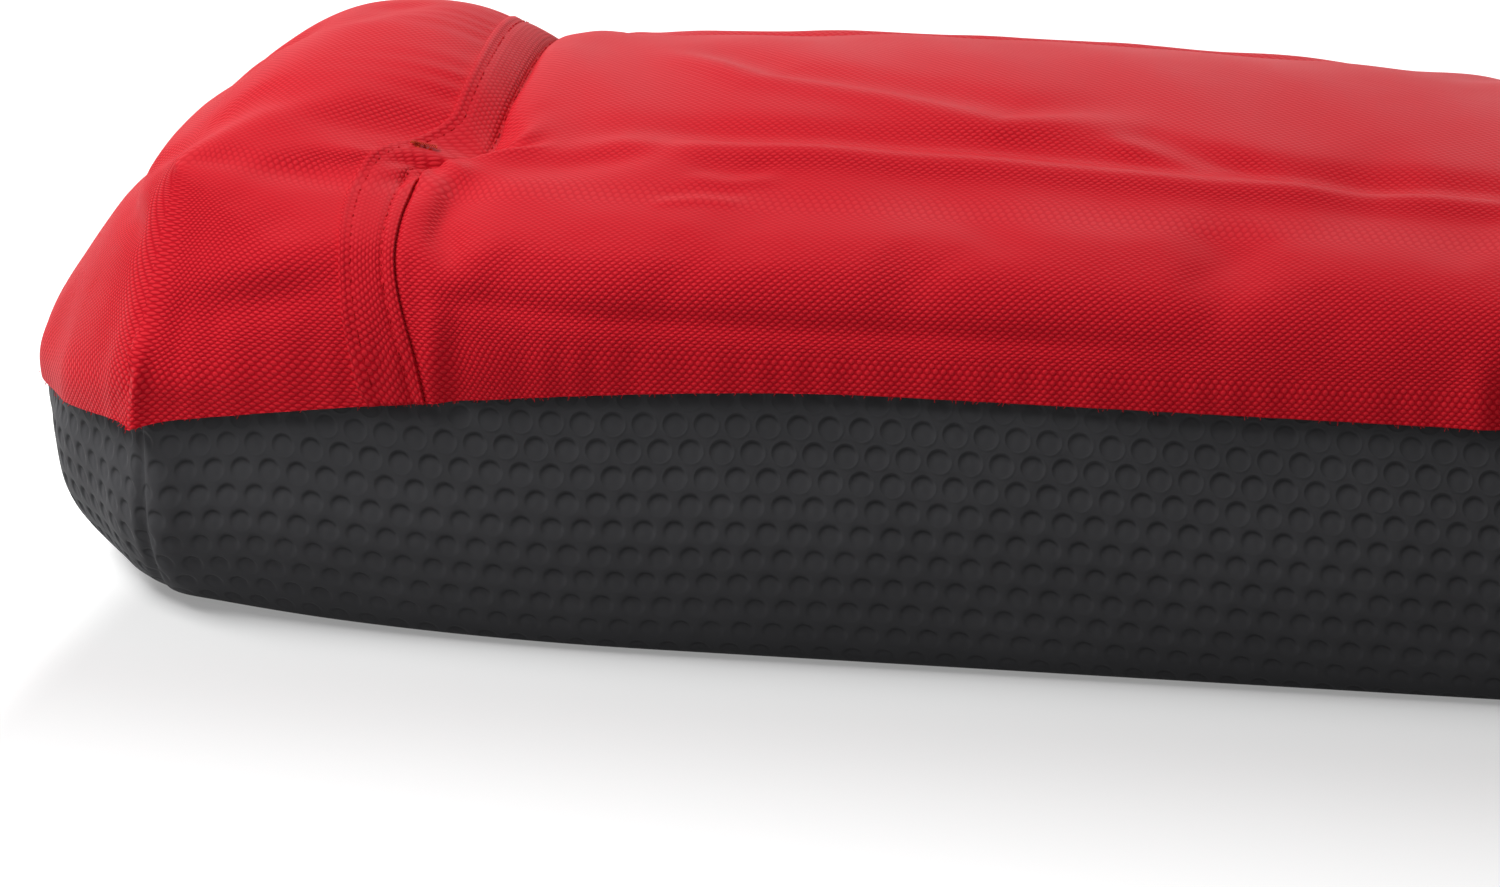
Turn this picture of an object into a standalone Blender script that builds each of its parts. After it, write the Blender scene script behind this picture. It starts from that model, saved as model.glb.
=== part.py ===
"""Crash landing mat: a long, narrow padded mat with a raised bolster at its head end.

Two woven covers meet under a sewn band in a crease, over a soft dotted base with a zip in its back seam.
Metres. X runs along the mat with the bolster at -X, Y runs across it with the zip at +Y, Z is up from the floor.
"""

import math

import bmesh
import bpy
from mathutils import Matrix, Vector

# Outline seen from above
MAT_LENGTH = 1.200
MAT_WIDTH = 0.340
CORNER_WIDTH = 0.308  # across the corner seams at each end
END_BULGE = 0.070  # each end swells this far past its corner seams
SIDE_TAPER_RUN = 0.180  # the sides draw in over this length before a corner seam

# Section through the stuffed mat
WIDEST_HEIGHT = 0.108
CORNER_WIDEST_HEIGHT = 0.086
END_WIDEST_HEIGHT = 0.074
SHOULDER_HEIGHT = 0.147
SHOULDER_TUCK = 0.046  # the shoulder lies this far inside the widest line
FLOOR_TUCK = 0.024  # the floor edge lies this far inside the widest line
CORNER_FLOOR_TUCK = 0.050
END_FLOOR_TUCK = 0.010
END_SHOULDER_TUCK = 0.001
END_FLOOR_BULGE = 0.038
END_SHOULDER_BULGE = -0.006
END_ROLL_POWER = 0.5  # under 1 makes the end roll over in a flatter slope
MAIN_CROWN = 0.031
MAIN_CROWN_RUN = 0.160  # the crown rises over this length from the crease and falls over it at the tail
CREASE_CROWN_SHARE = 0.72  # of the main crown that is already there at the crease
BOLSTER_CROWN = 0.030
BOLSTER_CROWN_POWER = 1.3
BOLSTER_CREST_SKEW = 0.85  # under 1 moves the crest towards the head end
HEAD_RISE = 0.007  # the bolster's shoulders stand this much above the main section's
MID_SAG = 0.007  # the top sinks a little at mid-length
MID_SAG_RUN = 0.200

# Crease between bolster and main section, with the band sewn along it
BOLSTER_LENGTH = 0.159  # from the head end to the crease
CREASE_DEPTH = 0.018
CREASE_LIP = 0.022  # the main section rolls up out of the crease over this length
CREASE_SPAN = 0.110  # length of the deep middle of the crease
CREASE_END_SHARE = 0.94  # of the half width at which the crease has run out
SEAM_LEAN = 0.019  # the seam leans this far towards the tail on its way down the sides
SEAM_LEAN_RUN = 0.050
SEAM_LAP = 0.004  # the covers meet this far behind the crease line, under the band
BAND_WIDTH = 0.017
BAND_LIFT = 0.0007  # of the band over the joint's two edges
BAND_EDGE_GAP = 0.0015  # between the band's edge and the crease line
TACK_LENGTH = 0.014
TACK_WIDTH = 0.003
TACK_HEIGHT = 0.0016

# Hem where the covers lap over the base
HEM_HEIGHT = 0.098
CORNER_HEM_HEIGHT = 0.070
END_HEM_HEIGHT = 0.060
HEM_FALL_RUN = 0.265  # the hem sinks over this length before a corner seam
HEM_FALL_POWER = 1.7
HEM_LAP = 0.012

# Sheet thicknesses and fits
COVER_SKIN = 0.0012
BAND_SKIN = 0.0010
BASE_SKIN = 0.0016
WEB_SKIN = 0.0010
PAD_THICKNESS = 0.010
SEAT_GAP = 0.0003  # between pieces that touch
LAP_GAP = 0.0005  # between curved sheets that lie on each other
BUTT_GAP = 0.0004  # between two edges that meet
PANEL_SETBACK = 0.0035  # end panel to corner seam, room for the two sheets' thickness
END_PANEL_START = 0.02  # first level of an end panel, just clear of the floor sheet's edge
FOAM_INSET = 0.0075  # foam to the outside of the covers

# Zip in the back seam
ZIP_END_MARGIN = 0.010  # from the opening's end to where the side starts to taper
ZIP_OPENING = 0.014
ZIP_OPENING_STEP = 0.015  # the hem steps back to its own line over this length
TAPE_END_MARGIN = 0.004
TAPE_WIDTH = 0.014
TAPE_SKIN = 0.0006
COIL_WIDTH = 0.0032
COIL_THICKNESS = 0.0020
COIL_SLIT = 0.0016
COIL_END_MARGIN = 0.006
STAY_WIDTH = 0.008
STAY_SKIN = 0.0014
STAY_REACH = 0.001  # the stay tape shows this far below the cover's hem
STOP_LENGTH = 0.003
STOP_WIDTH = 0.007
STOP_THICKNESS = 0.0010
SLIDER_LENGTH = 0.011
SLIDER_WIDTH = 0.009
SLIDER_PLATE = 0.0012
SLIDER_BACK_PLATE = 0.0008
SLIDER_POST = 0.0010
BRIDGE_LENGTH = 0.0084
BRIDGE_WIDTH = 0.0022
BRIDGE_WALL = 0.0012
PULL_LENGTH = 0.024
PULL_WIDTH = 0.0072
PULL_THICKNESS = 0.0012
PULL_ARM = 0.0015
PULL_WINDOW = 0.0060
PULL_BAR_RADIUS = 0.00065
PULL_INLAY = 0.0001  # the arms are this much slimmer than the tab
PULL_TURN_GAP = 0.0005  # around the pull's end bar inside the bridge

# Mesh density: longest step along the straight and the tapered sides, steps across the mat, up a cover and a base wall
LONG_STEP = 0.090
TAPER_STEP = 0.033
ACROSS_STEPS = 10
COVER_STEPS = 6
BASE_STEPS = 6
WEB_STEPS = 8

HALF_LENGTH = MAT_LENGTH / 2
CORNER_X = HALF_LENGTH - END_BULGE
STRAIGHT_X = CORNER_X - SIDE_TAPER_RUN
CREASE_X = BOLSTER_LENGTH - HALF_LENGTH
JOINT_X = CREASE_X - SEAM_LAP
BAND_LINES = [CREASE_X - BAND_WIDTH, CREASE_X - BAND_WIDTH / 2, CREASE_X - BAND_EDGE_GAP]
END_SWELL_RUN = CREASE_X - BAND_WIDTH + CORNER_X
CREASE_REACH = CREASE_SPAN / (MAT_WIDTH - 2 * SHOULDER_TUCK)
BACK_Y = MAT_WIDTH / 2
BASE_INSET = COVER_SKIN + LAP_GAP
FLOOR_TOP = BASE_SKIN + SEAT_GAP
FOAM_BOTTOM = FLOOR_TOP + PAD_THICKNESS + SEAT_GAP
WALL_GAP = WEB_SKIN / 2 + SEAT_GAP

ZIP_HEIGHT = HEM_HEIGHT
OPENING_X = STRAIGHT_X - ZIP_END_MARGIN
TAPE_X = OPENING_X - TAPE_END_MARGIN
COIL_X = TAPE_X - COIL_END_MARGIN
SLIDER_X = COIL_X - STOP_LENGTH - SEAT_GAP - SLIDER_LENGTH / 2
BRIDGE_ROOM = 2 * (PULL_BAR_RADIUS + PULL_TURN_GAP)
TAPE_EDGE = COIL_SLIT / 2 + SEAT_GAP

ACROSS = [2 * i / ACROSS_STEPS - 1 for i in range(ACROSS_STEPS + 1)]


def clamp(t):
    return max(0.0, min(1.0, t))


def smooth(t):
    t = clamp(t)
    return t * t * (3 - 2 * t)


def mix(a, b, t):
    return a + (b - a) * t


def taper(x):
    """0 along the straight sides, 1 at the corner seams."""
    return clamp((abs(x) - STRAIGHT_X) / SIDE_TAPER_RUN) ** 2


def end_share(x):
    """0 from the band on, 1 at the corner seams: how much of the end's swell a place along the mat takes."""
    return smooth(1 - (CORNER_X - abs(x)) / END_SWELL_RUN)


def half_width(x):
    return mix(MAT_WIDTH, CORNER_WIDTH, taper(x)) / 2


def widest(x, v):
    """Height of the widest line, lower at the ends."""
    swell = (END_WIDEST_HEIGHT - CORNER_WIDEST_HEIGHT) * (1 - v * v)
    return WIDEST_HEIGHT + (CORNER_WIDEST_HEIGHT - WIDEST_HEIGHT + swell) * taper(x)


def shoulder(x):
    """Height of the shoulder line, higher along the bolster."""
    return SHOULDER_HEIGHT + HEAD_RISE * smooth((CREASE_X - BAND_WIDTH - x) / END_SWELL_RUN)


def section(x, v, level):
    """Side tuck, end tuck, end bulge and height at a level: 0 floor, 1 widest line, 2 shoulder."""
    wide = widest(x, v)
    if level <= 1:
        out = math.sin(level * math.pi / 2)
        tuck = mix(FLOOR_TUCK, CORNER_FLOOR_TUCK, taper(x)) * (1 - out)
        bulge = mix(END_FLOOR_BULGE, END_BULGE, out)
        return tuck, END_FLOOR_TUCK * (1 - out), bulge, wide * (1 - math.cos(level * math.pi / 2))
    turn = (level - 1) * math.pi / 2
    inward = 1 - math.cos(turn)
    bulge = mix(END_BULGE, END_SHOULDER_BULGE, inward**END_ROLL_POWER)
    height = mix(wide, shoulder(x), math.sin(turn))
    return SHOULDER_TUCK * inward, END_SHOULDER_TUCK * inward, bulge, height


def level_at(height, x, v):
    """The level at which the skin has this height."""
    wide = widest(x, v)
    if height <= wide:
        return math.acos(clamp(1 - height / wide)) / (math.pi / 2)
    return 1 + math.asin(clamp((height - wide) / (shoulder(x) - wide))) / (math.pi / 2)


def leaned(x, v, level):
    """Where a line across the covers stands at this level: near the crease it leans towards the tail."""
    near_seam = math.exp(-(((x - CREASE_X) / SEAM_LEAN_RUN) ** 2)) * (1 - end_share(x))
    return x + SEAM_LEAN * near_seam * clamp((2.2 - level) / 1.4) * abs(v) ** 3


def skin(x, v, level, inset=0.0):
    """A point of the mat's skin: x between the corner seams, v from -1 to 1 across, level up from the floor."""
    tuck, end_tuck, bulge, height = section(x, v, level)
    along = (bulge * (1 - v * v) - end_tuck - inset) * end_share(x)
    y = v * (half_width(x) - tuck - inset)
    drop = inset * math.sin((level - 1) * math.pi / 2) if level > 1 else 0.0
    return Vector((x + math.copysign(1, x) * along, y, height - drop))


def across_crease(v):
    """1 along the deep middle of the crease, 0 where it has run out."""
    return 1 - smooth((abs(v) - CREASE_REACH) / (CREASE_END_SHARE - CREASE_REACH))


def main_crown(x, v):
    rise = mix(CREASE_CROWN_SHARE, 1, smooth((x - CREASE_X) / MAIN_CROWN_RUN))
    sag = MID_SAG * smooth(1 - abs(x) / MID_SAG_RUN)
    return (MAIN_CROWN * rise * smooth((CORNER_X - x) / MAIN_CROWN_RUN) - sag) * (1 - v * v)


def crown(x, v):
    """Height of the top above the shoulder, with the bolster, the crease and the lip beside it."""
    if x >= CREASE_X:
        lip = clamp(1 - (x - CREASE_X) / CREASE_LIP) ** 2
        return main_crown(x, v) - CREASE_DEPTH * across_crease(v) * lip
    t = clamp((x + CORNER_X) / (CREASE_X + CORNER_X))
    foot = main_crown(CREASE_X, v) - CREASE_DEPTH * across_crease(v)
    hump = math.sin(math.pi * t**BOLSTER_CREST_SKEW) ** BOLSTER_CROWN_POWER
    return BOLSTER_CROWN * (1 - v * v) * hump + foot * smooth(t)


def top(x, v, inset=0.0):
    point = skin(x, v, 2, inset)
    point.z += crown(x, v)
    return point


def cover_top(x, v):
    point = skin(leaned(x, v, 2), v, 2)
    point.z += crown(x, v)
    return point


def hem(x, v):
    """Height of the covers' hem. On the back it steps up over the zip."""
    past_level = clamp((abs(x) - CORNER_X + HEM_FALL_RUN) / HEM_FALL_RUN)
    height = mix(HEM_HEIGHT, CORNER_HEM_HEIGHT, past_level**HEM_FALL_POWER)
    height += (END_HEM_HEIGHT - CORNER_HEM_HEIGHT) * (1 - v * v) * taper(x)
    if v == 1:
        beside = clamp((abs(x) - OPENING_X) / ZIP_OPENING_STEP)
        return mix(ZIP_HEIGHT + ZIP_OPENING / 2, height, beside)
    return height


def rim(x, v):
    """Height of the base's rim, tucked behind the hem. On the back it steps down under the zip."""
    height = hem(x, v) + HEM_LAP
    if v == 1:
        beside = clamp((abs(x) - OPENING_X) / ZIP_OPENING_STEP)
        return mix(ZIP_HEIGHT - ZIP_OPENING / 2, height, beside)
    return height


# The zip's layers, outwards from the tapes, which lie behind the curved back wall
TAPE_FOOT = ZIP_HEIGHT - TAPE_EDGE - TAPE_WIDTH
TAPE_FACE_Y = skin(0, 1, level_at(TAPE_FOOT, 0, 1), BASE_INSET + BASE_SKIN + LAP_GAP).y
COIL_FACE_Y = TAPE_FACE_Y + SEAT_GAP + COIL_THICKNESS
SLIDER_FACE_Y = COIL_FACE_Y + SEAT_GAP + SLIDER_PLATE
PULL_AXIS_Y = SLIDER_FACE_Y + BRIDGE_ROOM / 2


def stations(low, high):
    """Places along the mat from low to high: every named line and even steps between them."""
    outer = OPENING_X + ZIP_OPENING_STEP
    lines = [*BAND_LINES, CREASE_X, CREASE_X + CREASE_LIP / 2, CREASE_X + CREASE_LIP]
    lines += [-outer, -OPENING_X, OPENING_X, outer]
    lines = [low] + sorted(x for x in lines if low + BUTT_GAP < x < high - BUTT_GAP) + [high]
    found = [low]
    for start, stop in zip(lines, lines[1:]):
        step = TAPER_STEP if max(abs(start), abs(stop)) > STRAIGHT_X else LONG_STEP
        count = math.ceil((stop - start) / step)
        found += [mix(start, stop, (i + 1) / count) for i in range(count)]
    return found


def material(name, colour, roughness, metallic=0.0):
    made = bpy.data.materials.new(name)
    made.use_nodes = True
    shader = made.node_tree.nodes["Principled BSDF"]
    shader.inputs["Base Color"].default_value = (*colour, 1)
    shader.inputs["Roughness"].default_value = roughness
    shader.inputs["Metallic"].default_value = metallic
    return made


def add_object(name, mesh, finish, parent=None):
    obj = bpy.data.objects.new(name, mesh)
    PARTS.objects.link(obj)
    mesh.materials.clear()
    mesh.materials.append(finish)
    if parent:
        obj.parent = parent
    return obj


def bent_grid(bm, columns, rows, place):
    """A grid whose points place() moves onto the mat."""
    wide, high = len(columns) - 1, len(rows) - 1
    made = bmesh.ops.create_grid(bm, x_segments=wide, y_segments=high, size=1)
    for vert in made["verts"]:
        column = columns[round((vert.co.x + 1) / 2 * wide)]
        row = rows[round((vert.co.y + 1) / 2 * high)]
        vert.co = place(column, row)


def mesh_from(bm, name, smooth_shaded=True):
    mesh = bpy.data.meshes.new(name)
    bm.to_mesh(mesh)
    bm.free()
    if smooth_shaded:
        mesh.shade_smooth()
        mesh.set_sharp_from_angle(angle=math.radians(40))
    return mesh


def sheet(name, grids, finish, thickness, offset=-1.0, lift=0.0, inside_x=0.0):
    """An open skin of joined grids, faced away from a point inside the mat and given its thickness."""
    inside = Vector((inside_x, 0, SHOULDER_HEIGHT / 2))
    bm = bmesh.new()
    for grid in grids:
        bent_grid(bm, *grid)
    bmesh.ops.remove_doubles(bm, verts=bm.verts, dist=1e-5)
    bmesh.ops.recalc_face_normals(bm, faces=bm.faces)
    if sum(face.normal.dot(face.calc_center_median() - inside) * face.calc_area() for face in bm.faces) < 0:
        bmesh.ops.reverse_faces(bm, faces=bm.faces)
    obj = add_object(name, mesh_from(bm, name), finish)
    if lift:
        raised = obj.modifiers.new("lift", "DISPLACE")
        raised.strength = lift
        raised.mid_level = 0
    shell = obj.modifiers.new("thickness", "SOLIDIFY")
    shell.thickness = thickness
    shell.offset = offset
    shell.use_even_offset = True
    return obj


def cover_wall(x, v, t):
    """A point at a share t of the way from the hem over the widest line to the shoulder."""
    foot_x = leaned(x, v, level_at(hem(x, v), x, v))
    start = level_at(hem(foot_x, v), foot_x, v)
    if t < 1 / 3 and start < 1:
        level = mix(start, 1, 3 * t)
    else:
        level = mix(max(start, 1), 2, max(0, 1.5 * t - 0.5))
    return skin(leaned(x, v, level), v, level)


def make_cover(name, low, high, end_x, finish):
    xs = stations(low, high)
    rise = [i / COVER_STEPS for i in range(COVER_STEPS + 1)]
    grids = [(xs, ACROSS, cover_top)]
    for v in (-1, 1):
        grids.append((xs, rise, lambda x, t, v=v: cover_wall(x, v, t)))
    grids.append((ACROSS, rise, lambda v, t: cover_wall(end_x, v, t)))
    return sheet(name, grids, finish, COVER_SKIN)


def make_band(finish):
    rise = [i / COVER_STEPS for i in range(COVER_STEPS + 1)]
    grids = [(BAND_LINES, ACROSS, cover_top)]
    for v in (-1, 1):
        grids.append((BAND_LINES, rise, lambda x, t, v=v: cover_wall(x, v, t)))
    return sheet("crease_band", grids, finish, BAND_SKIN, offset=1, lift=BAND_LIFT, inside_x=CREASE_X)


def make_tack(name, sign, finish):
    """A short bar of thread over the band, where the crease runs out."""
    x = CREASE_X - BAND_WIDTH / 2
    v = sign * (CREASE_REACH + CREASE_END_SHARE) / 2
    nudge = 1e-3
    seat = cover_top(x, v)
    along = (cover_top(x + nudge, v) - seat).normalized()
    normal = along.cross(cover_top(x, v + nudge) - seat).normalized()
    side = normal.cross(along)
    bm = bmesh.new()
    size = Matrix.Diagonal((TACK_LENGTH, TACK_WIDTH, TACK_HEIGHT, 1))
    bmesh.ops.create_cube(bm, size=1, matrix=size)
    obj = add_object(name, mesh_from(bm, name, False), finish)
    height = BAND_LIFT + BAND_SKIN + LAP_GAP + TACK_HEIGHT / 2
    turn = Matrix((along, side, normal)).transposed().to_4x4()
    obj.matrix_world = Matrix.Translation(seat + normal * height) @ turn
    round_edges(obj, TACK_HEIGHT / 3)


def round_edges(obj, width, segments=2):
    bevel = obj.modifiers.new("rounded edges", "BEVEL")
    bevel.width = width
    bevel.segments = segments
    bevel.limit_method = "ANGLE"


def make_base(finish):
    xs = stations(-CORNER_X, CORNER_X)
    rise = [i / BASE_STEPS for i in range(BASE_STEPS + 1)]

    def wall(x, v, t, start=0.0):
        return skin(x, v, mix(start, level_at(rim(x, v), x, v), t), BASE_INSET)

    grids = [(xs, ACROSS, lambda x, v: skin(x, v, 0, BASE_INSET))]
    for v in (-1, 1):
        grids.append((xs, rise, lambda x, t, v=v: wall(x, v, t)))
    sheet("base_wrap", grids, finish, BASE_SKIN)
    reach = 1 - PANEL_SETBACK / (CORNER_WIDTH / 2)
    for name, end_x in (("base_end_head", -CORNER_X), ("base_end_tail", CORNER_X)):
        grid = ([v * reach for v in ACROSS], rise, lambda v, t, x=end_x: wall(x, v, t, END_PANEL_START))
        sheet(name, [grid], finish, BASE_SKIN)


def make_pad(name, low, high, finish):
    """A flat slab that covers the base's floor."""

    def deck(x, v):
        point = skin(x, v, 0, BASE_INSET + LAP_GAP)
        point.z = FLOOR_TOP
        return point

    grid = (stations(low, high), ACROSS, deck)
    sheet(name, [grid], finish, PAD_THICKNESS)


def make_foam(name, low, high, end_x, finish):
    xs = stations(low, high)
    rise = [i / COVER_STEPS for i in range(COVER_STEPS + 1)]

    def wall(x, v, t):
        return skin(x, v, mix(level_at(FOAM_BOTTOM, x, v), 2, t), FOAM_INSET)

    bm = bmesh.new()
    bent_grid(bm, xs, ACROSS, lambda x, v: top(x, v, FOAM_INSET))
    bent_grid(bm, xs, ACROSS, lambda x, v: wall(x, v, 0))
    for v in (-1, 1):
        bent_grid(bm, xs, rise, lambda x, t: wall(x, v, t))
    bent_grid(bm, ACROSS, rise, lambda v, t: wall(end_x, v, t))
    bmesh.ops.remove_doubles(bm, verts=bm.verts, dist=1e-5)
    bmesh.ops.holes_fill(bm, edges=[edge for edge in bm.edges if edge.is_boundary])
    bmesh.ops.recalc_face_normals(bm, faces=bm.faces)
    add_object(name, mesh_from(bm, name), finish)


def make_web(finish):
    """The tie inside the crease, from the covers' joint down to the base's floor."""
    steps = [CREASE_REACH * (2 * i / WEB_STEPS - 1) for i in range(WEB_STEPS + 1)]

    def place(v, t):
        crest = top(JOINT_X, v)
        slope = (top(JOINT_X - SEAM_LAP, v).z - crest.z) / SEAM_LAP
        under = COVER_SKIN * math.hypot(1, slope) + WEB_SKIN / 2 * abs(slope) + 1.5 * LAP_GAP
        return Vector((JOINT_X, crest.y, mix(FLOOR_TOP, crest.z - under, t)))

    sheet("divider_web", [(steps, [0, 0.5, 1], place)], finish, WEB_SKIN, offset=0)


def make_box(name, low, high, finish, rounding=0.0, parent=None):
    """A box between two corners, with its origin at its middle."""
    low, high = Vector(low), Vector(high)
    bm = bmesh.new()
    bmesh.ops.create_cube(bm, size=1, matrix=Matrix.Diagonal((*(high - low), 1)))
    obj = add_object(name, mesh_from(bm, name, False), finish, parent)
    obj.location = (low + high) / 2
    if rounding:
        round_edges(obj, rounding)
    return obj


def make_zip(tape, coil, metal):
    tape_back = TAPE_FACE_Y - TAPE_SKIN
    for name, sign in (("upper", 1), ("lower", -1)):
        edges = sorted((ZIP_HEIGHT + sign * TAPE_EDGE, ZIP_HEIGHT + sign * (TAPE_EDGE + TAPE_WIDTH)))
        make_box(
            f"zip_tape_{name}", (-TAPE_X, tape_back, edges[0]), (TAPE_X, TAPE_FACE_Y, edges[1]), tape
        )
        edges = sorted((ZIP_HEIGHT + sign * COIL_SLIT / 2, ZIP_HEIGHT + sign * (COIL_SLIT / 2 + COIL_WIDTH)))
        low = (-COIL_X, TAPE_FACE_Y + SEAT_GAP, edges[0])
        make_box(f"zip_coil_{name}", low, (COIL_X, COIL_FACE_Y, edges[1]), coil, COIL_THICKNESS / 4)
    stay_low = ZIP_HEIGHT + ZIP_OPENING / 2 - STAY_REACH
    make_box(
        "zip_stay_tape",
        (-TAPE_X, TAPE_FACE_Y + SEAT_GAP, stay_low),
        (TAPE_X, TAPE_FACE_Y + SEAT_GAP + STAY_SKIN, stay_low + STAY_WIDTH),
        tape,
    )
    for name, start in (("zip_stop_open", -COIL_X), ("zip_stop_closed", COIL_X - STOP_LENGTH)):
        low = (start, COIL_FACE_Y + SEAT_GAP, ZIP_HEIGHT - STOP_WIDTH / 2)
        high = (start + STOP_LENGTH, COIL_FACE_Y + SEAT_GAP + STOP_THICKNESS, ZIP_HEIGHT + STOP_WIDTH / 2)
        make_box(name, low, high, metal, STOP_THICKNESS / 4)
    make_slider(metal, tape_back)


def join(obj, other):
    """Adds another solid to an object and keeps the other as a hidden helper."""
    HELPERS.objects.link(other)
    PARTS.objects.unlink(other)
    other.hide_render = True
    other.display_type = "WIRE"
    union = obj.modifiers.new(f"with {other.name}", "BOOLEAN")
    union.operation = "UNION"
    union.object = other


def make_slider(metal, tape_back):
    """Front plate, post through the slit, back plate and a bridge that holds the pull."""
    carriage = bpy.data.objects.new("zip_carriage", None)
    carriage.location = (SLIDER_X, PULL_AXIS_Y, ZIP_HEIGHT)
    PARTS.objects.link(carriage)

    def block(name, low, high):
        """A box whose corners are measured from the pull's axis, in the carriage's own frame."""
        return make_box(name, low, high, metal, 0, carriage)

    half = SLIDER_LENGTH / 2
    face = SLIDER_FACE_Y - PULL_AXIS_Y
    back_face = tape_back - SEAT_GAP - PULL_AXIS_Y
    overlap = SLIDER_BACK_PLATE / 4
    slider = block("zip_slider", (-half, face - SLIDER_PLATE, -SLIDER_WIDTH / 2), (half, face, SLIDER_WIDTH / 2))
    back_low = (-half, back_face - SLIDER_BACK_PLATE, -SLIDER_WIDTH / 2)
    join(slider, block("slider_back_plate", back_low, (half, back_face, SLIDER_WIDTH / 2)))
    post_low = (-half + overlap, back_face - overlap, -SLIDER_POST / 2)
    post_high = (half - overlap, face - SLIDER_PLATE + overlap, SLIDER_POST / 2)
    join(slider, block("slider_post", post_low, post_high))
    reach = BRIDGE_LENGTH / 2
    crest = face + BRIDGE_ROOM
    bridge_low = (-reach, crest, -BRIDGE_WIDTH / 2)
    join(slider, block("bridge_top", bridge_low, (reach, crest + BRIDGE_WALL, BRIDGE_WIDTH / 2)))
    for name, start in (("bridge_leg_head", -reach), ("bridge_leg_tail", reach - BRIDGE_WALL)):
        leg_low = (start, face - overlap, -BRIDGE_WIDTH / 2)
        leg_high = (start + BRIDGE_WALL, crest + overlap, BRIDGE_WIDTH / 2)
        join(slider, block(name, leg_low, leg_high))
    make_pull(metal, carriage)


def make_pull(metal, carriage):
    """A flat tab on two arms, whose round end bar turns inside the slider's bridge."""
    half = PULL_WIDTH / 2
    thick = PULL_THICKNESS / 2
    tab_end = -PULL_BAR_RADIUS - PULL_WINDOW
    pull = make_box("zip_pull", (-PULL_LENGTH, -thick, -half), (tab_end, thick, half), metal, 0, carriage)
    round_edges(pull, PULL_THICKNESS / 4)
    overlap = PULL_THICKNESS / 2
    for name, low in (("pull_arm_upper", half - PULL_ARM), ("pull_arm_lower", -half)):
        arm_low = (tab_end - overlap, PULL_INLAY - thick, low + PULL_INLAY)
        arm_high = (0, thick - PULL_INLAY, low + PULL_ARM - PULL_INLAY)
        join(pull, make_box(name, arm_low, arm_high, metal, 0, carriage))
    bm = bmesh.new()
    bmesh.ops.create_cone(
        bm,
        cap_ends=True,
        segments=16,
        radius1=PULL_BAR_RADIUS,
        radius2=PULL_BAR_RADIUS,
        depth=PULL_WIDTH,
    )
    bar = add_object("pull_bar", mesh_from(bm, "pull_bar"), metal, carriage)
    join(pull, bar)
    pull.data.transform(Matrix.Translation(pull.location))
    pull.location = (0, 0, 0)


for old in list(bpy.data.objects):
    bpy.data.objects.remove(old)
PARTS = bpy.data.collections.new("crash_landing_mat")
HELPERS = bpy.data.collections.new("helpers")
for collection in (PARTS, HELPERS):
    bpy.context.scene.collection.children.link(collection)

RED_CLOTH = material("red_cloth", (0.62, 0.012, 0.025), 0.55)
RED_BAND = material("red_band", (0.55, 0.010, 0.022), 0.55)
RED_THREAD = material("red_thread", (0.50, 0.012, 0.020), 0.6)
BLACK_VINYL = material("black_vinyl", (0.026, 0.026, 0.028), 0.5)
GREY_FOAM = material("grey_foam", (0.42, 0.43, 0.44), 0.9)
WHITE_PAD = material("white_pad", (0.72, 0.72, 0.70), 0.85)
BLACK_TAPE = material("black_tape", (0.02, 0.02, 0.02), 0.8)
BLACK_COIL = material("black_coil", (0.03, 0.03, 0.03), 0.4)
DARK_METAL = material("dark_metal", (0.10, 0.10, 0.11), 0.35, 1.0)

make_cover("head_cover", -CORNER_X, JOINT_X - BUTT_GAP / 2, -CORNER_X, RED_CLOTH)
make_cover("main_cover", JOINT_X + BUTT_GAP / 2, CORNER_X, CORNER_X, RED_CLOTH)
make_band(RED_BAND)
make_tack("crease_tack_front", -1, RED_THREAD)
make_tack("crease_tack_back", 1, RED_THREAD)
make_base(BLACK_VINYL)
make_pad("base_pad_head", -CORNER_X, JOINT_X - WALL_GAP, WHITE_PAD)
make_pad("base_pad_main", JOINT_X + WALL_GAP, CORNER_X, WHITE_PAD)
make_foam("bolster_foam", -CORNER_X, JOINT_X - WALL_GAP, -CORNER_X, GREY_FOAM)
make_foam("main_foam", JOINT_X + WALL_GAP, CORNER_X, CORNER_X, GREY_FOAM)
make_web(RED_BAND)
make_zip(BLACK_TAPE, BLACK_COIL, DARK_METAL)
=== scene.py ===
"""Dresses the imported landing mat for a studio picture.

The woven cover is one computed skin, loosened by a short cloth simulation, folded and parted at the crease.
The dotted base, the sewing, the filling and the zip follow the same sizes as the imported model, in metres.
"""

import math

import bmesh
import bpy
import numpy as np
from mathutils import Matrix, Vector


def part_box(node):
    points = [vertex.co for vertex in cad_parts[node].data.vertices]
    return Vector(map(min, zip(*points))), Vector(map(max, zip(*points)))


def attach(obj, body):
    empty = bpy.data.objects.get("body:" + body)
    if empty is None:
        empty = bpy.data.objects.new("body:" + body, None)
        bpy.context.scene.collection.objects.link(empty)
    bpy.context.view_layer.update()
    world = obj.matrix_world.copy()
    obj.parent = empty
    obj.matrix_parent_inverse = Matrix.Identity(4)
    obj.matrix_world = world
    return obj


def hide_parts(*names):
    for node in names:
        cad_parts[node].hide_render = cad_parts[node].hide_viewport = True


bl_info = {
    "name": "Landing mat dressing",
    "version": (1, 0, 0),
    "blender": (4, 5, 0),
    "location": "View3D > Sidebar > Mat",
    "description": "Covers, base, sewing, filling, zip and studio of a landing mat",
    "category": "Object",
}

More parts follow.
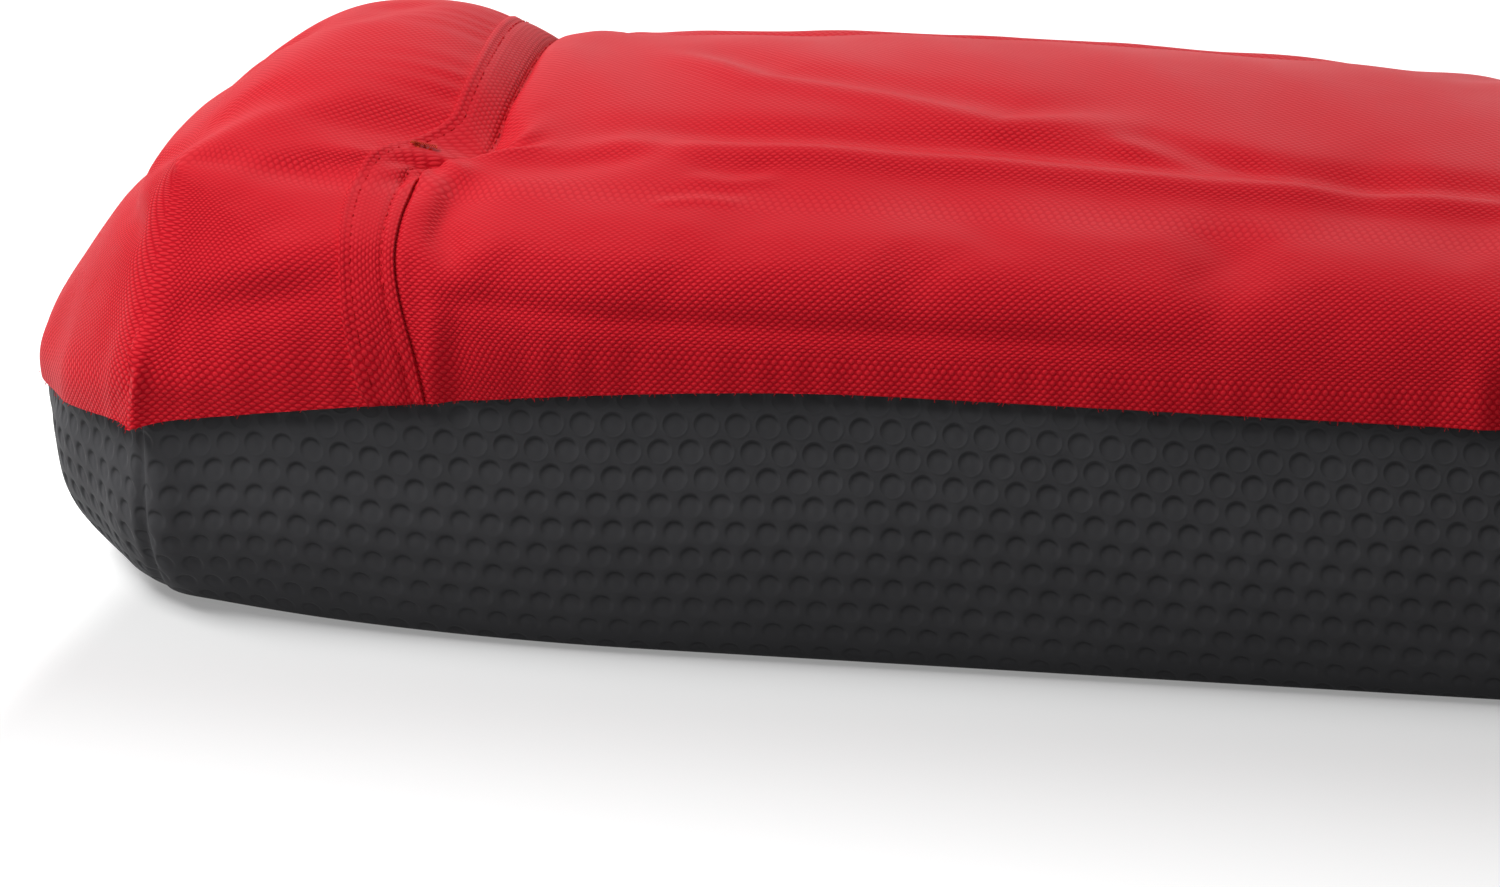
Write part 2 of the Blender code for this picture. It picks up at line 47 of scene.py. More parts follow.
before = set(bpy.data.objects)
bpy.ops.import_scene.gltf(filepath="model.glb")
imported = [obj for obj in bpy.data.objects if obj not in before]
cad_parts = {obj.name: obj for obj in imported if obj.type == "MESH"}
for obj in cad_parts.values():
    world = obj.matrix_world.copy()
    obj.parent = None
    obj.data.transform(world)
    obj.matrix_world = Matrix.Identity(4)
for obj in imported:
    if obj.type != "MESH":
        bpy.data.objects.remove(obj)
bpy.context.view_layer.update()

# Skin of the stuffed mat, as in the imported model
CORNER_X = 0.530
STRAIGHT_X = 0.350
MAT_WIDTH = 0.340
CORNER_WIDTH = 0.308
WIDEST_HEIGHT = 0.108
CORNER_WIDEST_HEIGHT = 0.086
END_WIDEST_HEIGHT = 0.074
SHOULDER_HEIGHT = 0.147
SHOULDER_TUCK = 0.046
FLOOR_TUCK = 0.024
CORNER_FLOOR_TUCK = 0.050
END_BULGE = 0.070
END_FLOOR_TUCK = 0.010
END_SHOULDER_TUCK = 0.001
END_FLOOR_BULGE = 0.038
END_SHOULDER_BULGE = -0.006
END_ROLL_POWER = 0.5
MAIN_CROWN = 0.0285
MAIN_CROWN_RUN = 0.160
TAIL_CROWN_SHARE = 0.3
CREASE_CROWN_SHARE = 0.78
BOLSTER_CROWN = 0.0265
BOLSTER_CROWN_POWER = 0.8
BOLSTER_CREST_SKEW = 0.82
HEAD_RISE = 0.007
HEAD_FILL = 0.008  # the bolster is packed out towards its head end
MID_SAG = 0.010
MID_SAG_RUN = 0.260
CREASE_X = -0.441
CREASE_LIP = 0.014
SEAM_LEAN = 0.022
SEAM_LEAN_POWER = 3.0
SEAM_LEAN_RUN = 0.050
BAND_WIDTH = 0.017
SEAM_LAP = 0.004
HEM_HEIGHT = 0.098
CORNER_HEM_HEIGHT = 0.070
END_HEM_HEIGHT = 0.060
HEM_FALL_RUN = 0.265
HEM_FALL_POWER = 1.7
HEM_LAP = 0.010
ZIP_OPENING = 0.014
ZIP_OPENING_STEP = 0.015
OPENING_X = 0.340
BASE_INSET = 0.0024
BASE_BELLY = 0.0020  # the base stands this far proud of the skin below its rim
BASE_END_BELLY = 0.0005
BAND_X = CREASE_X - BAND_WIDTH
JOINT_X = CREASE_X - SEAM_LAP
END_SWELL_RUN = BAND_X + CORNER_X

# The crease as it is sewn: pulled down hardest at the two tucks, and bowed towards the tail
TUCK_PLACE = (-0.437, 0.0975)
TUCK_SHARE = 0.70
TUCK_DEPTH = 0.0055
CREASE_DEPTH = 0.004
CREASE_BOW = 0.0225
LIP_LAP = 0.0035  # the main section's lip leans this far over the crease

# Mesh of the skins
WALL_STEPS = 12  # from hem to shoulder, and from floor to rim
ACROSS_LINES = 29  # along the top and the floor
SIDE_Y = 0.1  # the side walls lie further out than this
SAME = 1e-4  # lengths this close count as equal
SETTLE_FRAMES = 24  # length of the cloth simulation

# Flat sizes of the sheets, measured on the skins
HEAD_COVER_FLAT = (0.23, 0.44)
MAIN_COVER_FLAT = (1.10, 0.43)
WRAP_FLAT = (1.12, 0.51)
END_FLAT = (0.345, 0.10)

# Sewing
STITCH_ROWS = (BAND_X + 0.0022, CREASE_X - 0.0042)
STITCH_THREAD = 0.0008
FRAY_THREAD = 0.0002
TACK_THREAD = 0.0006
TACK_LENGTH = 0.009
TACK_SWING = 0.0011
TACK_LIFT = 0.0012

# Filling
PAD_VOXEL = 0.005
PAD_WIDTH_SHARE = 0.965  # the pads are drawn in from the base's walls
PAD_END_GAP = 0.006
FOAM_GAP = 0.009  # the foam stays this far under the cover's top

# Studio
LAMP_WAY = Vector((0.1, 0.15, -1.9))  # all lamps hang facing almost straight down
PICTURE_MIDDLE = Vector((-0.30684, -0.18493, 0.08306))
FLOOR_SIZE = 300
FLOOR_DROP = 0.0004  # keeps the floor clear of the underside


def smooth(t):
    t = np.clip(t, 0, 1)
    return t * t * (3 - 2 * t)


def mix(a, b, t):
    return a + (b - a) * t


def bell(distance, width):
    return np.exp(-((distance / width) ** 2))


def taper(x):
    """0 along the straight sides, 1 at the corner seams."""
    return np.clip((np.abs(x) - STRAIGHT_X) / (CORNER_X - STRAIGHT_X), 0, 1) ** 2


def end_share(x):
    """How much of the end's swell a place along the mat takes."""
    return smooth(1 - (CORNER_X - np.abs(x)) / END_SWELL_RUN)


def widest(x, v):
    swell = (END_WIDEST_HEIGHT - CORNER_WIDEST_HEIGHT) * (1 - v * v)
    return WIDEST_HEIGHT + (CORNER_WIDEST_HEIGHT - WIDEST_HEIGHT + swell) * taper(x)


def shoulder(x):
    return SHOULDER_HEIGHT + HEAD_RISE * smooth((BAND_X - x) / END_SWELL_RUN)


def level_at(height, x, v):
    """The level at which the skin has this height: 0 floor, 1 widest line, 2 shoulder."""
    wide = widest(x, v)
    low = np.arccos(np.clip(1 - height / wide, -1, 1))
    high = math.pi / 2 + np.arcsin(np.clip((height - wide) / (shoulder(x) - wide), 0, 1))
    return np.where(height <= wide, low, high) / (math.pi / 2)


def skin(x, v, level, inset=0.0):
    """A point of the skin: x between the corner seams, v across from -1 to 1, level up from the floor."""
    wide = widest(x, v)
    angle = np.clip(level, 0, 1) * math.pi / 2
    turn = np.clip(level - 1, 0, 1) * math.pi / 2
    under = 1 - np.sin(angle)
    inward = 1 - np.cos(turn)
    above = level > 1
    side = np.where(above, SHOULDER_TUCK * inward, mix(FLOOR_TUCK, CORNER_FLOOR_TUCK, taper(x)) * under)
    end = np.where(above, END_SHOULDER_TUCK * inward, END_FLOOR_TUCK * under)
    low_bulge = mix(END_BULGE, END_FLOOR_BULGE, under)
    bulge = np.where(above, mix(END_BULGE, END_SHOULDER_BULGE, inward**END_ROLL_POWER), low_bulge)
    height = np.where(above, mix(wide, shoulder(x), np.sin(turn)), wide * (1 - np.cos(angle)))
    along = (bulge * (1 - v * v) - end - inset) * end_share(x)
    half = mix(MAT_WIDTH, CORNER_WIDTH, taper(x)) / 2
    place_y = v * (half - side - inset)
    return np.stack([x + np.sign(x) * along, place_y, height - inset * np.sin(turn)], axis=-1)


def near_crease(x):
    return bell(x - CREASE_X, SEAM_LEAN_RUN) * (1 - end_share(x))


def leaned(x, v, level):
    """Near the crease a line across the cover leans towards the tail, most at the hem."""
    low = np.clip((2.2 - level) / 1.4, 0, 1) ** SEAM_LEAN_POWER
    return x + SEAM_LEAN * near_crease(x) * low * np.abs(v) ** 3


def bow(x, y):
    """Behind its front tuck the crease is drawn towards the tail."""
    run = mix(0.036, 0.012, smooth((x - BAND_X) / BAND_WIDTH))
    between = smooth((y + TUCK_PLACE[1] + 0.006) / run) * smooth((TUCK_PLACE[1] + 0.03 - y) / 0.05)
    return CREASE_BOW * near_crease(x) * between * (1 - 0.5 * smooth((y + 0.06) / 0.15))


def main_crown(x, v):
    rise = mix(CREASE_CROWN_SHARE, 1, smooth((x - CREASE_X) / MAIN_CROWN_RUN))
    sag = MID_SAG * smooth(1 - np.abs(x) / MID_SAG_RUN)
    fall = mix(TAIL_CROWN_SHARE, 1, smooth((CORNER_X - x) / MAIN_CROWN_RUN))
    return (MAIN_CROWN * rise * fall - sag) * (1 - v * v)


def crease_depth(v):
    middle = 1 - smooth((np.abs(v) - 0.5) / 0.4)
    return CREASE_DEPTH * middle + TUCK_DEPTH * bell(np.abs(v) - TUCK_SHARE, 0.17)


def crown(x, v):
    """Height of the top above the shoulder."""
    lip = np.clip(1 - (x - CREASE_X) / CREASE_LIP, 0, 1) ** 2
    behind = main_crown(np.maximum(x, CREASE_X), v) - crease_depth(v) * lip
    t = np.clip((x + CORNER_X) / (CREASE_X + CORNER_X), 0, 1)
    foot = main_crown(CREASE_X, v) - crease_depth(v)
    hump = np.abs(np.sin(math.pi * t**BOLSTER_CREST_SKEW)) ** BOLSTER_CROWN_POWER
    fill = HEAD_FILL * bell(x + CORNER_X - 0.012, 0.018) * (1 - v**4)
    return np.where(x >= CREASE_X, behind, BOLSTER_CROWN * (1 - v * v) * hump + fill + foot * smooth(t))


def hem(x, v):
    """Height of the cover's hem, which steps up over the zip on the back."""
    past = np.clip((np.abs(x) - CORNER_X + HEM_FALL_RUN) / HEM_FALL_RUN, 0, 1)
    height = mix(HEM_HEIGHT, CORNER_HEM_HEIGHT, past**HEM_FALL_POWER)
    height = height + (END_HEM_HEIGHT - CORNER_HEM_HEIGHT) * (1 - v * v) * taper(x)
    beside = np.clip((np.abs(x) - OPENING_X) / ZIP_OPENING_STEP, 0, 1)
    return np.where(v == 1, mix(HEM_HEIGHT + ZIP_OPENING / 2, height, beside), height)


def rim(x, v):
    """Height of the base's rim behind the hem, which steps down under the zip on the back."""
    height = hem(x, v) + HEM_LAP
    beside = np.clip((np.abs(x) - OPENING_X) / ZIP_OPENING_STEP, 0, 1)
    return np.where(v == 1, mix(HEM_HEIGHT - ZIP_OPENING / 2, height, beside), height)


def cover_point(x, v, t):
    """A point of the cover: t from the hem, 0, over the widest line to the shoulder, 1, and v across it."""
    foot_x = leaned(x, v, level_at(hem(x, v), x, v))
    start = level_at(hem(foot_x, v), foot_x, v)
    rising = mix(np.maximum(start, 1), 2, np.clip(1.5 * t - 0.5, 0, 1))
    level = np.where((t < 1 / 3) & (start < 1), mix(start, 1, 3 * t), rising)
    point = skin(leaned(x, v, level), v, level)
    point[..., 2] += crown(x, v) * (t >= 1)
    return point


def base_point(x, v, t):
    """A point of the base: t from the floor's edge, 0, to the rim, 1, which is tucked in behind the hem."""
    level = level_at(rim(x, v), x, v) * t
    tucked = smooth((level - level_at(hem(x, v), x, v)) / 0.3 + 1.2)
    point = skin(x, v, level, mix(-BASE_BELLY, BASE_INSET, tucked))
    belly = np.sin(math.pi * np.clip(level, 0, 1)) * (1 - v * v)
    point[..., 0] += np.sign(x) * BASE_END_BELLY * end_share(x) * belly
    tucked = smooth((point[..., 2] - hem(x, v)) / HEM_LAP)
    point[..., 1] -= np.sign(v) * (np.abs(v) == 1) * 0.003 * tucked
    return point


def from_corner(points):
    """Distance in plan from the nearest corner seam."""
    return np.hypot(np.abs(points[:, 0]) - CORNER_X, np.abs(points[:, 1]) - CORNER_WIDTH / 2)


def between_seams(u):
    """True for cloth between the corner seams: the end panels have cloth coordinates of their own."""
    return np.abs(u) < CORNER_X - SAME


def run_length(points, axis, zero):
    """Length along one axis of a grid of points, measured from the line with index zero."""
    steps = np.linalg.norm(np.diff(points, axis=axis), axis=-1)
    first = np.zeros_like(np.take(steps, [0], axis=axis))
    length = np.concatenate([first, np.cumsum(steps, axis=axis)], axis=axis)
    return length - np.take(length, [zero], axis=axis)


class Skin:
    """Joined grids of points with cloth coordinates in metres and a piece number for each face."""

    def __init__(self):
        self.bm = bmesh.new()
        self.uv = self.bm.loops.layers.uv.new("cloth")
        self.part = self.bm.faces.layers.int.new("part")
        self.soft = self.bm.verts.layers.float.new("soft")

    def add(self, points, u, v, parts, soft=None):
        rows, columns = points.shape[:2]
        verts = [self.bm.verts.new(p) for p in points.reshape(-1, 3)]
        if soft is not None:
            for vert, value in zip(verts, soft.ravel()):
                vert[self.soft] = value
        for i in range(rows - 1):
            for j in range(columns - 1):
                places = ((i, j), (i, j + 1), (i + 1, j + 1), (i + 1, j))
                face = self.bm.faces.new([verts[a * columns + b] for a, b in places])
                face[self.part] = int(parts[j])
                for loop, place in zip(face.loops, places):
                    loop[self.uv].uv = (u[place], v[place])

    def object(self, name):
        bmesh.ops.remove_doubles(self.bm, verts=self.bm.verts, dist=1e-5)
        bmesh.ops.recalc_face_normals(self.bm, faces=self.bm.faces)
        middle = Vector((0.0, 0.0, SHOULDER_HEIGHT / 2))
        out = sum(f.normal.dot(f.calc_center_median() - middle) * f.calc_area() for f in self.bm.faces)
        if out < 0:
            bmesh.ops.reverse_faces(self.bm, faces=self.bm.faces)
        return made(name, self.bm)


def made(name, bm):
    mesh = bpy.data.meshes.new(name)
    bm.to_mesh(mesh)
    bm.free()
    mesh.shade_smooth()
    obj = bpy.data.objects.new(name, mesh)
    bpy.context.scene.collection.objects.link(obj)
    return obj


def read(items, key, width, kind=np.float32):
    """One row of values for each item."""
    flat = np.empty(len(items) * width, kind)
    items.foreach_get(key, flat)
    return flat.reshape(-1, width)


def points_of(mesh):
    return read(mesh.vertices, "co", 3).astype(float)


def normals_of(mesh):
    return read(mesh.vertex_normals, "vector", 3).astype(float)


def place(mesh, points):
    mesh.vertices.foreach_set("co", points.astype(np.float32).ravel())
    mesh.update()


def softness_of(mesh):
    """How much each vertex is rounded off."""
    return read(mesh.attributes["soft"].data, "value", 1)[:, 0]


def cloth_corners(mesh):
    """The vertex and the cloth coordinates of each corner of a face."""
    vertex = read(mesh.loops, "vertex_index", 1, np.int32)[:, 0]
    return vertex, read(mesh.uv_layers["cloth"].uv, "vector", 2)


def cloth_of(mesh):
    """The cloth coordinates of each vertex."""
    vertex, cloth = cloth_corners(mesh)
    found = np.zeros((len(mesh.vertices), 2))
    found[vertex] = cloth
    return found


def slide(mesh, shift):
    """Moves the cloth along under each vertex by its shift."""
    vertex, cloth = cloth_corners(mesh)
    cloth[:, 0] += shift[vertex]
    mesh.uv_layers["cloth"].uv.foreach_set("vector", cloth.ravel())


def edges_of(mesh):
    return read(mesh.edges, "vertices", 2, np.int32)


def open_edge(mesh):
    """True for each vertex on an edge with one face."""
    faces = np.bincount(read(mesh.loops, "edge_index", 1, np.int32)[:, 0], minlength=len(mesh.edges))
    found = np.zeros(len(mesh.vertices), bool)
    found[edges_of(mesh)[faces == 1]] = True
    return found


def relaxed(mesh, points, weight, rounds):
    """Points drawn towards the middle of their neighbours, by a weight each."""
    edges = edges_of(mesh)
    count = np.bincount(edges.ravel(), minlength=len(points))[:, None]
    for _ in range(rounds):
        total = np.zeros_like(points)
        np.add.at(total, edges[:, 0], points[edges[:, 1]])
        np.add.at(total, edges[:, 1], points[edges[:, 0]])
        points = points + weight[:, None] * (total / count - points)
    return points


def applied(obj, kind, **settings):
    """The object with one modifier applied to its mesh."""
    modifier = obj.modifiers.new(kind.lower(), kind)
    for name, value in settings.items():
        setattr(modifier, name, value)
    graph = bpy.context.evaluated_depsgraph_get()
    mesh = bpy.data.meshes.new_from_object(obj.evaluated_get(graph), depsgraph=graph)
    obj.modifiers.remove(modifier)
    old = obj.data
    obj.data = mesh
    bpy.data.meshes.remove(old)
    return obj


def blown_up(obj, held, pressure, slack, most):
    """The skin after a cloth simulation with air pressure, where no point has moved further than most."""
    scene = bpy.context.scene
    start = points_of(obj.data)
    group = obj.vertex_groups.new(name="held")
    for share in np.unique(held):
        group.add(np.flatnonzero(held == share).tolist(), share, "REPLACE")
    modifier = obj.modifiers.new("cloth", "CLOTH")
    cloth = modifier.settings
    cloth.quality = 6
    cloth.mass = 0.25
    cloth.tension_stiffness = 25
    cloth.compression_stiffness = 25
    cloth.shear_stiffness = 8
    cloth.bending_stiffness = 0.6
    cloth.use_pressure = True
    cloth.uniform_pressure_force = pressure
    cloth.shrink_min = -slack
    cloth.vertex_group_mass = "held"
    cloth.effector_weights.gravity = 0
    modifier.point_cache.frame_start = 1
    modifier.point_cache.frame_end = SETTLE_FRAMES
    for number in range(1, SETTLE_FRAMES + 1):
        scene.frame_set(number)
    graph = bpy.context.evaluated_depsgraph_get()
    moved = points_of(obj.evaluated_get(graph).data) - start
    obj.modifiers.remove(modifier)
    obj.vertex_groups.remove(group)
    scene.frame_set(1)
    far = np.linalg.norm(moved, axis=1, keepdims=True)
    place(obj.data, start + moved * np.minimum(1, most / np.maximum(far, 1e-9)))


def fold(points, line, width, height, valley, side):
    """A soft fold along a line of (x, y) places: a ridge with a valley beside it, run out at both ends."""
    line = np.array(line)
    best = np.full(len(points), 1e9)
    across = np.zeros(len(points))
    along = np.zeros(len(points))
    lengths = np.linalg.norm(np.diff(line, axis=0), axis=1)
    total = lengths.sum()
    done = 0.0
    for start, stop, length in zip(line, line[1:], lengths):
        way = (stop - start) / length
        off = points[:, :2] - start
        t = np.clip(off @ way, 0, length)
        gap = off - t[:, None] * way
        far = np.hypot(gap[:, 0], gap[:, 1])
        closer = far < best
        best = np.where(closer, far, best)
        sign = np.sign(way[0] * off[:, 1] - way[1] * off[:, 0])
        across = np.where(closer, sign * far * side, across)
        along = np.where(closer, (done + t) / total, along)
        done += length
    strength = smooth(along / 0.25) * smooth((1 - along) / 0.25)
    return height * strength * (bell(across, width) - valley * bell(across - 1.7 * width, 1.3 * width))


def part_of(obj, name, keep):
    """A new object with the faces whose piece number is in keep."""
    bm = bmesh.new()
    bm.from_mesh(obj.data)
    layer = bm.faces.layers.int["part"]
    bmesh.ops.delete(bm, geom=[f for f in bm.faces if f[layer] not in keep], context="FACES")
    return made(name, bm)


def attached(piece, node=None):
    """The piece rides on the mat and stands for a node if it has one."""
    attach(piece, "mat")
    if node:
        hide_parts(node)


def curve(name, runs, thickness, finish):
    """Threads or wires: one curve object with a round section along each run of points."""
    data = bpy.data.curves.new(name, "CURVE")
    data.dimensions = "3D"
    data.bevel_depth = thickness / 2
    data.bevel_resolution = 1
    data.use_fill_caps = True
    for run in runs:
        spline = data.splines.new("POLY")
        spline.points.add(len(run) - 1)
        spline.points.foreach_set("co", np.c_[np.array(run), np.ones(len(run))].ravel())
        spline.use_smooth = True
    data.materials.append(finish)
    obj = bpy.data.objects.new(name, data)
    bpy.context.scene.collection.objects.link(obj)
    return obj


def acting(operation, swapped=False):
    """A method of Wire that adds a Math node with this operation."""

    def method(self, *others):
        tree = self.socket.id_data
        node = tree.nodes.new("ShaderNodeMath")
        node.operation = operation
        values = (*others, self) if swapped else (self, *others)
        for socket, value in zip(node.inputs, values):
            join(tree, socket, value)
        return Wire(node.outputs[0])

    return method


class Wire:
    """A shader socket with arithmetic: each operation adds a Math node beside it."""

    def __init__(self, socket):
        self.socket = socket

    __add__ = __radd__ = acting("ADD")
    __sub__ = acting("SUBTRACT")
    __rsub__ = acting("SUBTRACT", swapped=True)
    __mul__ = __rmul__ = acting("MULTIPLY")
    __truediv__ = acting("DIVIDE")
    least = acting("MINIMUM")
    most = acting("MAXIMUM")
    under = acting("LESS_THAN")
    between = acting("WRAP")
    size = acting("ABSOLUTE")
    root = acting("SQRT")
    sine = acting("SINE")

    def wrapped(self, size):
        """The value repeated from minus half of size to plus half of it."""
        return self.between(size / 2, -size / 2)


def join(tree, socket, value):
    if isinstance(value, Wire):
        tree.links.new(value.socket, socket)
    elif hasattr(socket.default_value, "__len__") and not isinstance(value, (int, float)):
        width = len(socket.default_value)
        socket.default_value = tuple(value) + (1.0,) * (width - len(value))
    else:
        socket.default_value = value


class Finish:
    """A material whose Principled shader is fed by nodes."""

    def __init__(self, name, **constants):
        self.material = bpy.data.materials.new(name)
        self.material.use_nodes = True
        self.tree = self.material.node_tree
        self.shader = self.tree.nodes["Principled BSDF"]
        self.feed(**constants)

    def feed(self, **sockets):
        for name, value in sockets.items():
            shown = name.replace("_", " ").title().replace("Ior", "IOR")
            join(self.tree, self.shader.inputs[shown], value)

    def add(self, kind, settings=(), sockets=(), output=0):
        """A node by its type, with its settings, then the values or links of its sockets."""
        node = self.tree.nodes.new("ShaderNode" + kind)
        for name, value in dict(settings).items():
            setattr(node, name, value)
        for name, value in dict(sockets).items():
            join(self.tree, next(s for s in node.inputs if s.enabled and s.name == name), value)
        shown = [s for s in node.outputs if s.enabled]
        if isinstance(output, str):
            return Wire(next(s for s in shown if s.name == output))
        return Wire(shown[output])

    def axes(self, vector, names):
        """The named coordinates of a vector."""
        return [self.add("SeparateXYZ", (), {"Vector": vector}, name) for name in names]

    def cloth(self):
        """The two cloth coordinates, in metres."""
        return self.axes(self.add("UVMap", {"uv_map": "cloth"}), "XY")

    def place(self):
        """The place on the piece, in metres."""
        return self.add("TexCoord", (), (), "Object")

    def spots(self, scale, detail=2.0, rough=0.5):
        """Soft noise over the piece, around one half."""
        sockets = {"Vector": self.place(), "Scale": scale, "Detail": detail, "Roughness": rough}
        return self.add("TexNoise", (), sockets)

    def ease(self, value, low, high, start=0.0, stop=1.0):
        sockets = {"Value": value, "From Min": low, "From Max": high, "To Min": start, "To Max": stop}
        return self.add("MapRange", {"interpolation_type": "SMOOTHSTEP"}, sockets)

    def blend(self, share, first, second):
        return self.add("Mix", {"data_type": "RGBA"}, {"Factor": share, "A": first, "B": second})

    def bump(self, height):
        """Makes the surface look raised by a height in metres."""
        self.feed(normal=self.add("Bump", (), {"Height": height, "Distance": 1.0, "Strength": 1.0}))


def shade(colour, share):
    return tuple(c * share for c in colour[:3])


def woven(name, colour, pitch, turned=False):
    """Coarse woven cloth: staggered floats with a painted highlight over yarns with painted shade between
    them, soft wear and a dull sheen.
    """
    finish = Finish(name, sheen_weight=0.035, sheen_roughness=0.30, sheen_tint=(1.0, 0.6, 0.6))
    finish.feed(coat_roughness=0.35, specular_ior_level=0.14, specular_tint=(1.0, 0.04, 0.06))
    u, v = finish.cloth()
    if turned:
        u, v = v, u

    def float_at(shift, rise):
        along = (u + shift).wrapped(2 * pitch[0]) / (0.78 * pitch[0])
        across = (v + rise).wrapped(2 * pitch[1]) / (0.58 * pitch[1])
        return along * along + across * across

    dome = 1 - float_at(0.0, 0.0).least(float_at(pitch[0], pitch[1])).least(1.0)
    over = finish.ease(dome, 0.0, 0.6)
    level = finish.axes(finish.add("NewGeometry", (), (), "Normal"), "Z")[0]
    clear = finish.ease(level, 0.97, 0.70, 0.30, 1.0)
    yarn = finish.spots(700, 2)
    worn = finish.ease(finish.spots(14, 3), 0.3, 0.7)
    # Painted highlight and shade: the floats are lightened with a little white and the yarns between them
    # darkened; the contrast fades on faces that look up.
    painted_float_highlight = tuple(1.10 * c + 0.016 for c in colour[:3])
    tone = finish.blend(0.5 + (over - 0.5) * clear, shade(colour, 0.74), painted_float_highlight)
    tone = finish.blend(yarn * 0.3, tone, shade(colour, 0.86))
    tone = finish.blend(worn * 0.14, tone, shade(colour, 0.86))
    finish.feed(base_color=tone, roughness=0.6 - 0.12 * over + 0.08 * worn)
    finish.feed(coat_weight=finish.ease(level, 0.75, 0.98, 0.0, 0.10))
    finish.bump(dome * clear * 0.00032 + yarn * 0.00003)
    return finish.material


def mottled(finish, colour, patches, grain, shades, rough, relief):
    """The material of a finish with patches of two shades, and a grain that sets its roughness and relief."""
    first, second = (shade(colour, share) for share in shades)
    finish.feed(base_color=finish.blend(patches, first, second), roughness=rough[0] + rough[1] * grain)
    finish.bump(grain * relief)
    return finish.material


def thread(name, colour):
    """Twisted sewing thread."""
    finish = Finish(name, specular_ior_level=0.3, specular_tint=(1.0, 0.2, 0.2))
    twist = finish.spots(2600)
    return mottled(finish, colour, twist, twist, (0.6, 1.1), (0.5, 0.2), 0.0002)


def dotted_vinyl(name, settings):
    """Soft vinyl with staggered round dimples, each with a domed middle and painted shade on its upper wall,
    and a fine grain.
    """
    colour = settings.vinyl
    finish = Finish(name, specular_ior_level=0.04)
    u, v = finish.cloth()
    pitch = settings.dot_pitch
    row = pitch * math.sqrt(3) / 2

    def dot(shift, rise):
        x = (u + shift).wrapped(pitch)
        y = (v + rise).wrapped(2 * row)
        return x * x + y * y, y

    (first, up), (second, other) = dot(0.0, 0.0), dot(pitch / 2, row)
    far = first.least(second).root()
    up = other + (up - other) * first.under(second)
    radius = settings.dot_width / 2
    recess = finish.ease(far, radius, radius * 0.68)
    deep = recess * finish.ease(up, -radius, radius)
    dome = finish.ease(far, radius * 0.75, 0.0)
    rim = finish.ease(far, radius * 1.22, radius * 1.02) * finish.ease(far, radius * 0.86, radius * 1.02)
    high = finish.axes(finish.place(), "Z")[0]
    ring = rim * finish.ease(high, 0.045, 0.085, 0.02, 0.14)
    grain = finish.spots(1500, 3, 0.6)
    scuffs = finish.ease(finish.spots(38, 4, 0.7), 0.35, 0.75)
    # Painted shade: the upper inner wall of each dimple is darkened in the colour, as if lit from above.
    wall = recess * (1 - finish.ease(far, radius * 0.82, radius * 0.45)) * finish.ease(up, 0.0, radius * 0.9)
    tone = finish.blend(wall, colour[:3], shade(colour, 0.40))
    tone = finish.blend(scuffs * 0.25, tone, shade(colour, 1.5))
    finish.feed(base_color=tone, roughness=0.5 + 0.1 * scuffs + 0.08 * grain)
    finish.bump((0.2 * dome + ring - 0.4 * deep) * settings.dot_relief + grain * 0.00002)
    return finish.material


def foam(name, colour):
    """Open-celled foam."""
    finish = Finish(name, specular_ior_level=0.15)
    cells = finish.add("TexVoronoi", (), {"Scale": 420.0}, "Distance")
    return mottled(finish, colour, finish.spots(9, 3), cells, (0.8, 1.1), (0.85, 0.1), 0.0006)


def firm_foam(name, colour):
    """Closed-cell foam with a fine skin."""
    finish = Finish(name, specular_ior_level=0.2)
    cells = finish.spots(700, 4, 0.7)
    return mottled(finish, colour, finish.spots(30, 3), cells, (0.82, 1.0), (0.75, 0.15), 0.0003)


def ribbed_tape(name, colour, rib):
    """Narrow woven tape with ribs along the mat, their troughs painted darker and their crests lighter."""
    finish = Finish(name, sheen_weight=0.15, specular_ior_level=0.3)
    x, z = finish.axes(finish.place(), "XZ")
    ribs = (x * (math.pi / rib)).sine() * (z * (math.pi / rib)).sine()
    raised = finish.ease(ribs, -0.6, 0.8)
    fluff = finish.spots(260, 3)
    # Painted shade and highlight: the colour is darkened in the troughs between the ribs and lightened on
    # their crests.
    tone = finish.blend(raised, shade(colour, 0.6), shade(colour, 1.3))
    finish.feed(base_color=finish.blend(fluff * 0.4, tone, shade(colour, 1.9)), roughness=0.6 + 0.2 * fluff)
    finish.bump(raised * 0.0002)
    return finish.material


def nylon(name, colour):
    """Smooth moulded nylon."""
    finish = Finish(name, specular_ior_level=0.5)
    cloud = finish.spots(500, 3)
    return mottled(finish, colour, cloud, cloud, (0.8, 1.5), (0.3, 0.15), 0.00003)


def dark_metal(name, colour):
    """Plated die-cast metal with rubbed patches and fine scratches."""
    finish = Finish(name)
    rubbed = finish.ease(finish.spots(420, 4, 0.7), 0.45, 0.7)
    scratch = finish.spots(3000, 2)
    tone = finish.blend(rubbed, colour[:3], shade(colour, 2.2))
    finish.feed(base_color=tone, metallic=1.0 - 0.1 * rubbed, roughness=0.3 + 0.2 * scratch)
    finish.bump(scratch * 0.00002)
    return finish.material


def number_of(name, text, default, **rules):
    return bpy.props.FloatProperty(name=name, description=text, default=default, **rules)


def length_of(name, text, default):
    return number_of(name, text, default, subtype="DISTANCE", unit="LENGTH")


def colour_of(name, text, default):
    rules = {"subtype": "COLOR", "min": 0, "max": 1}
    return bpy.props.FloatVectorProperty(name=name, description=text, default=default, **rules)


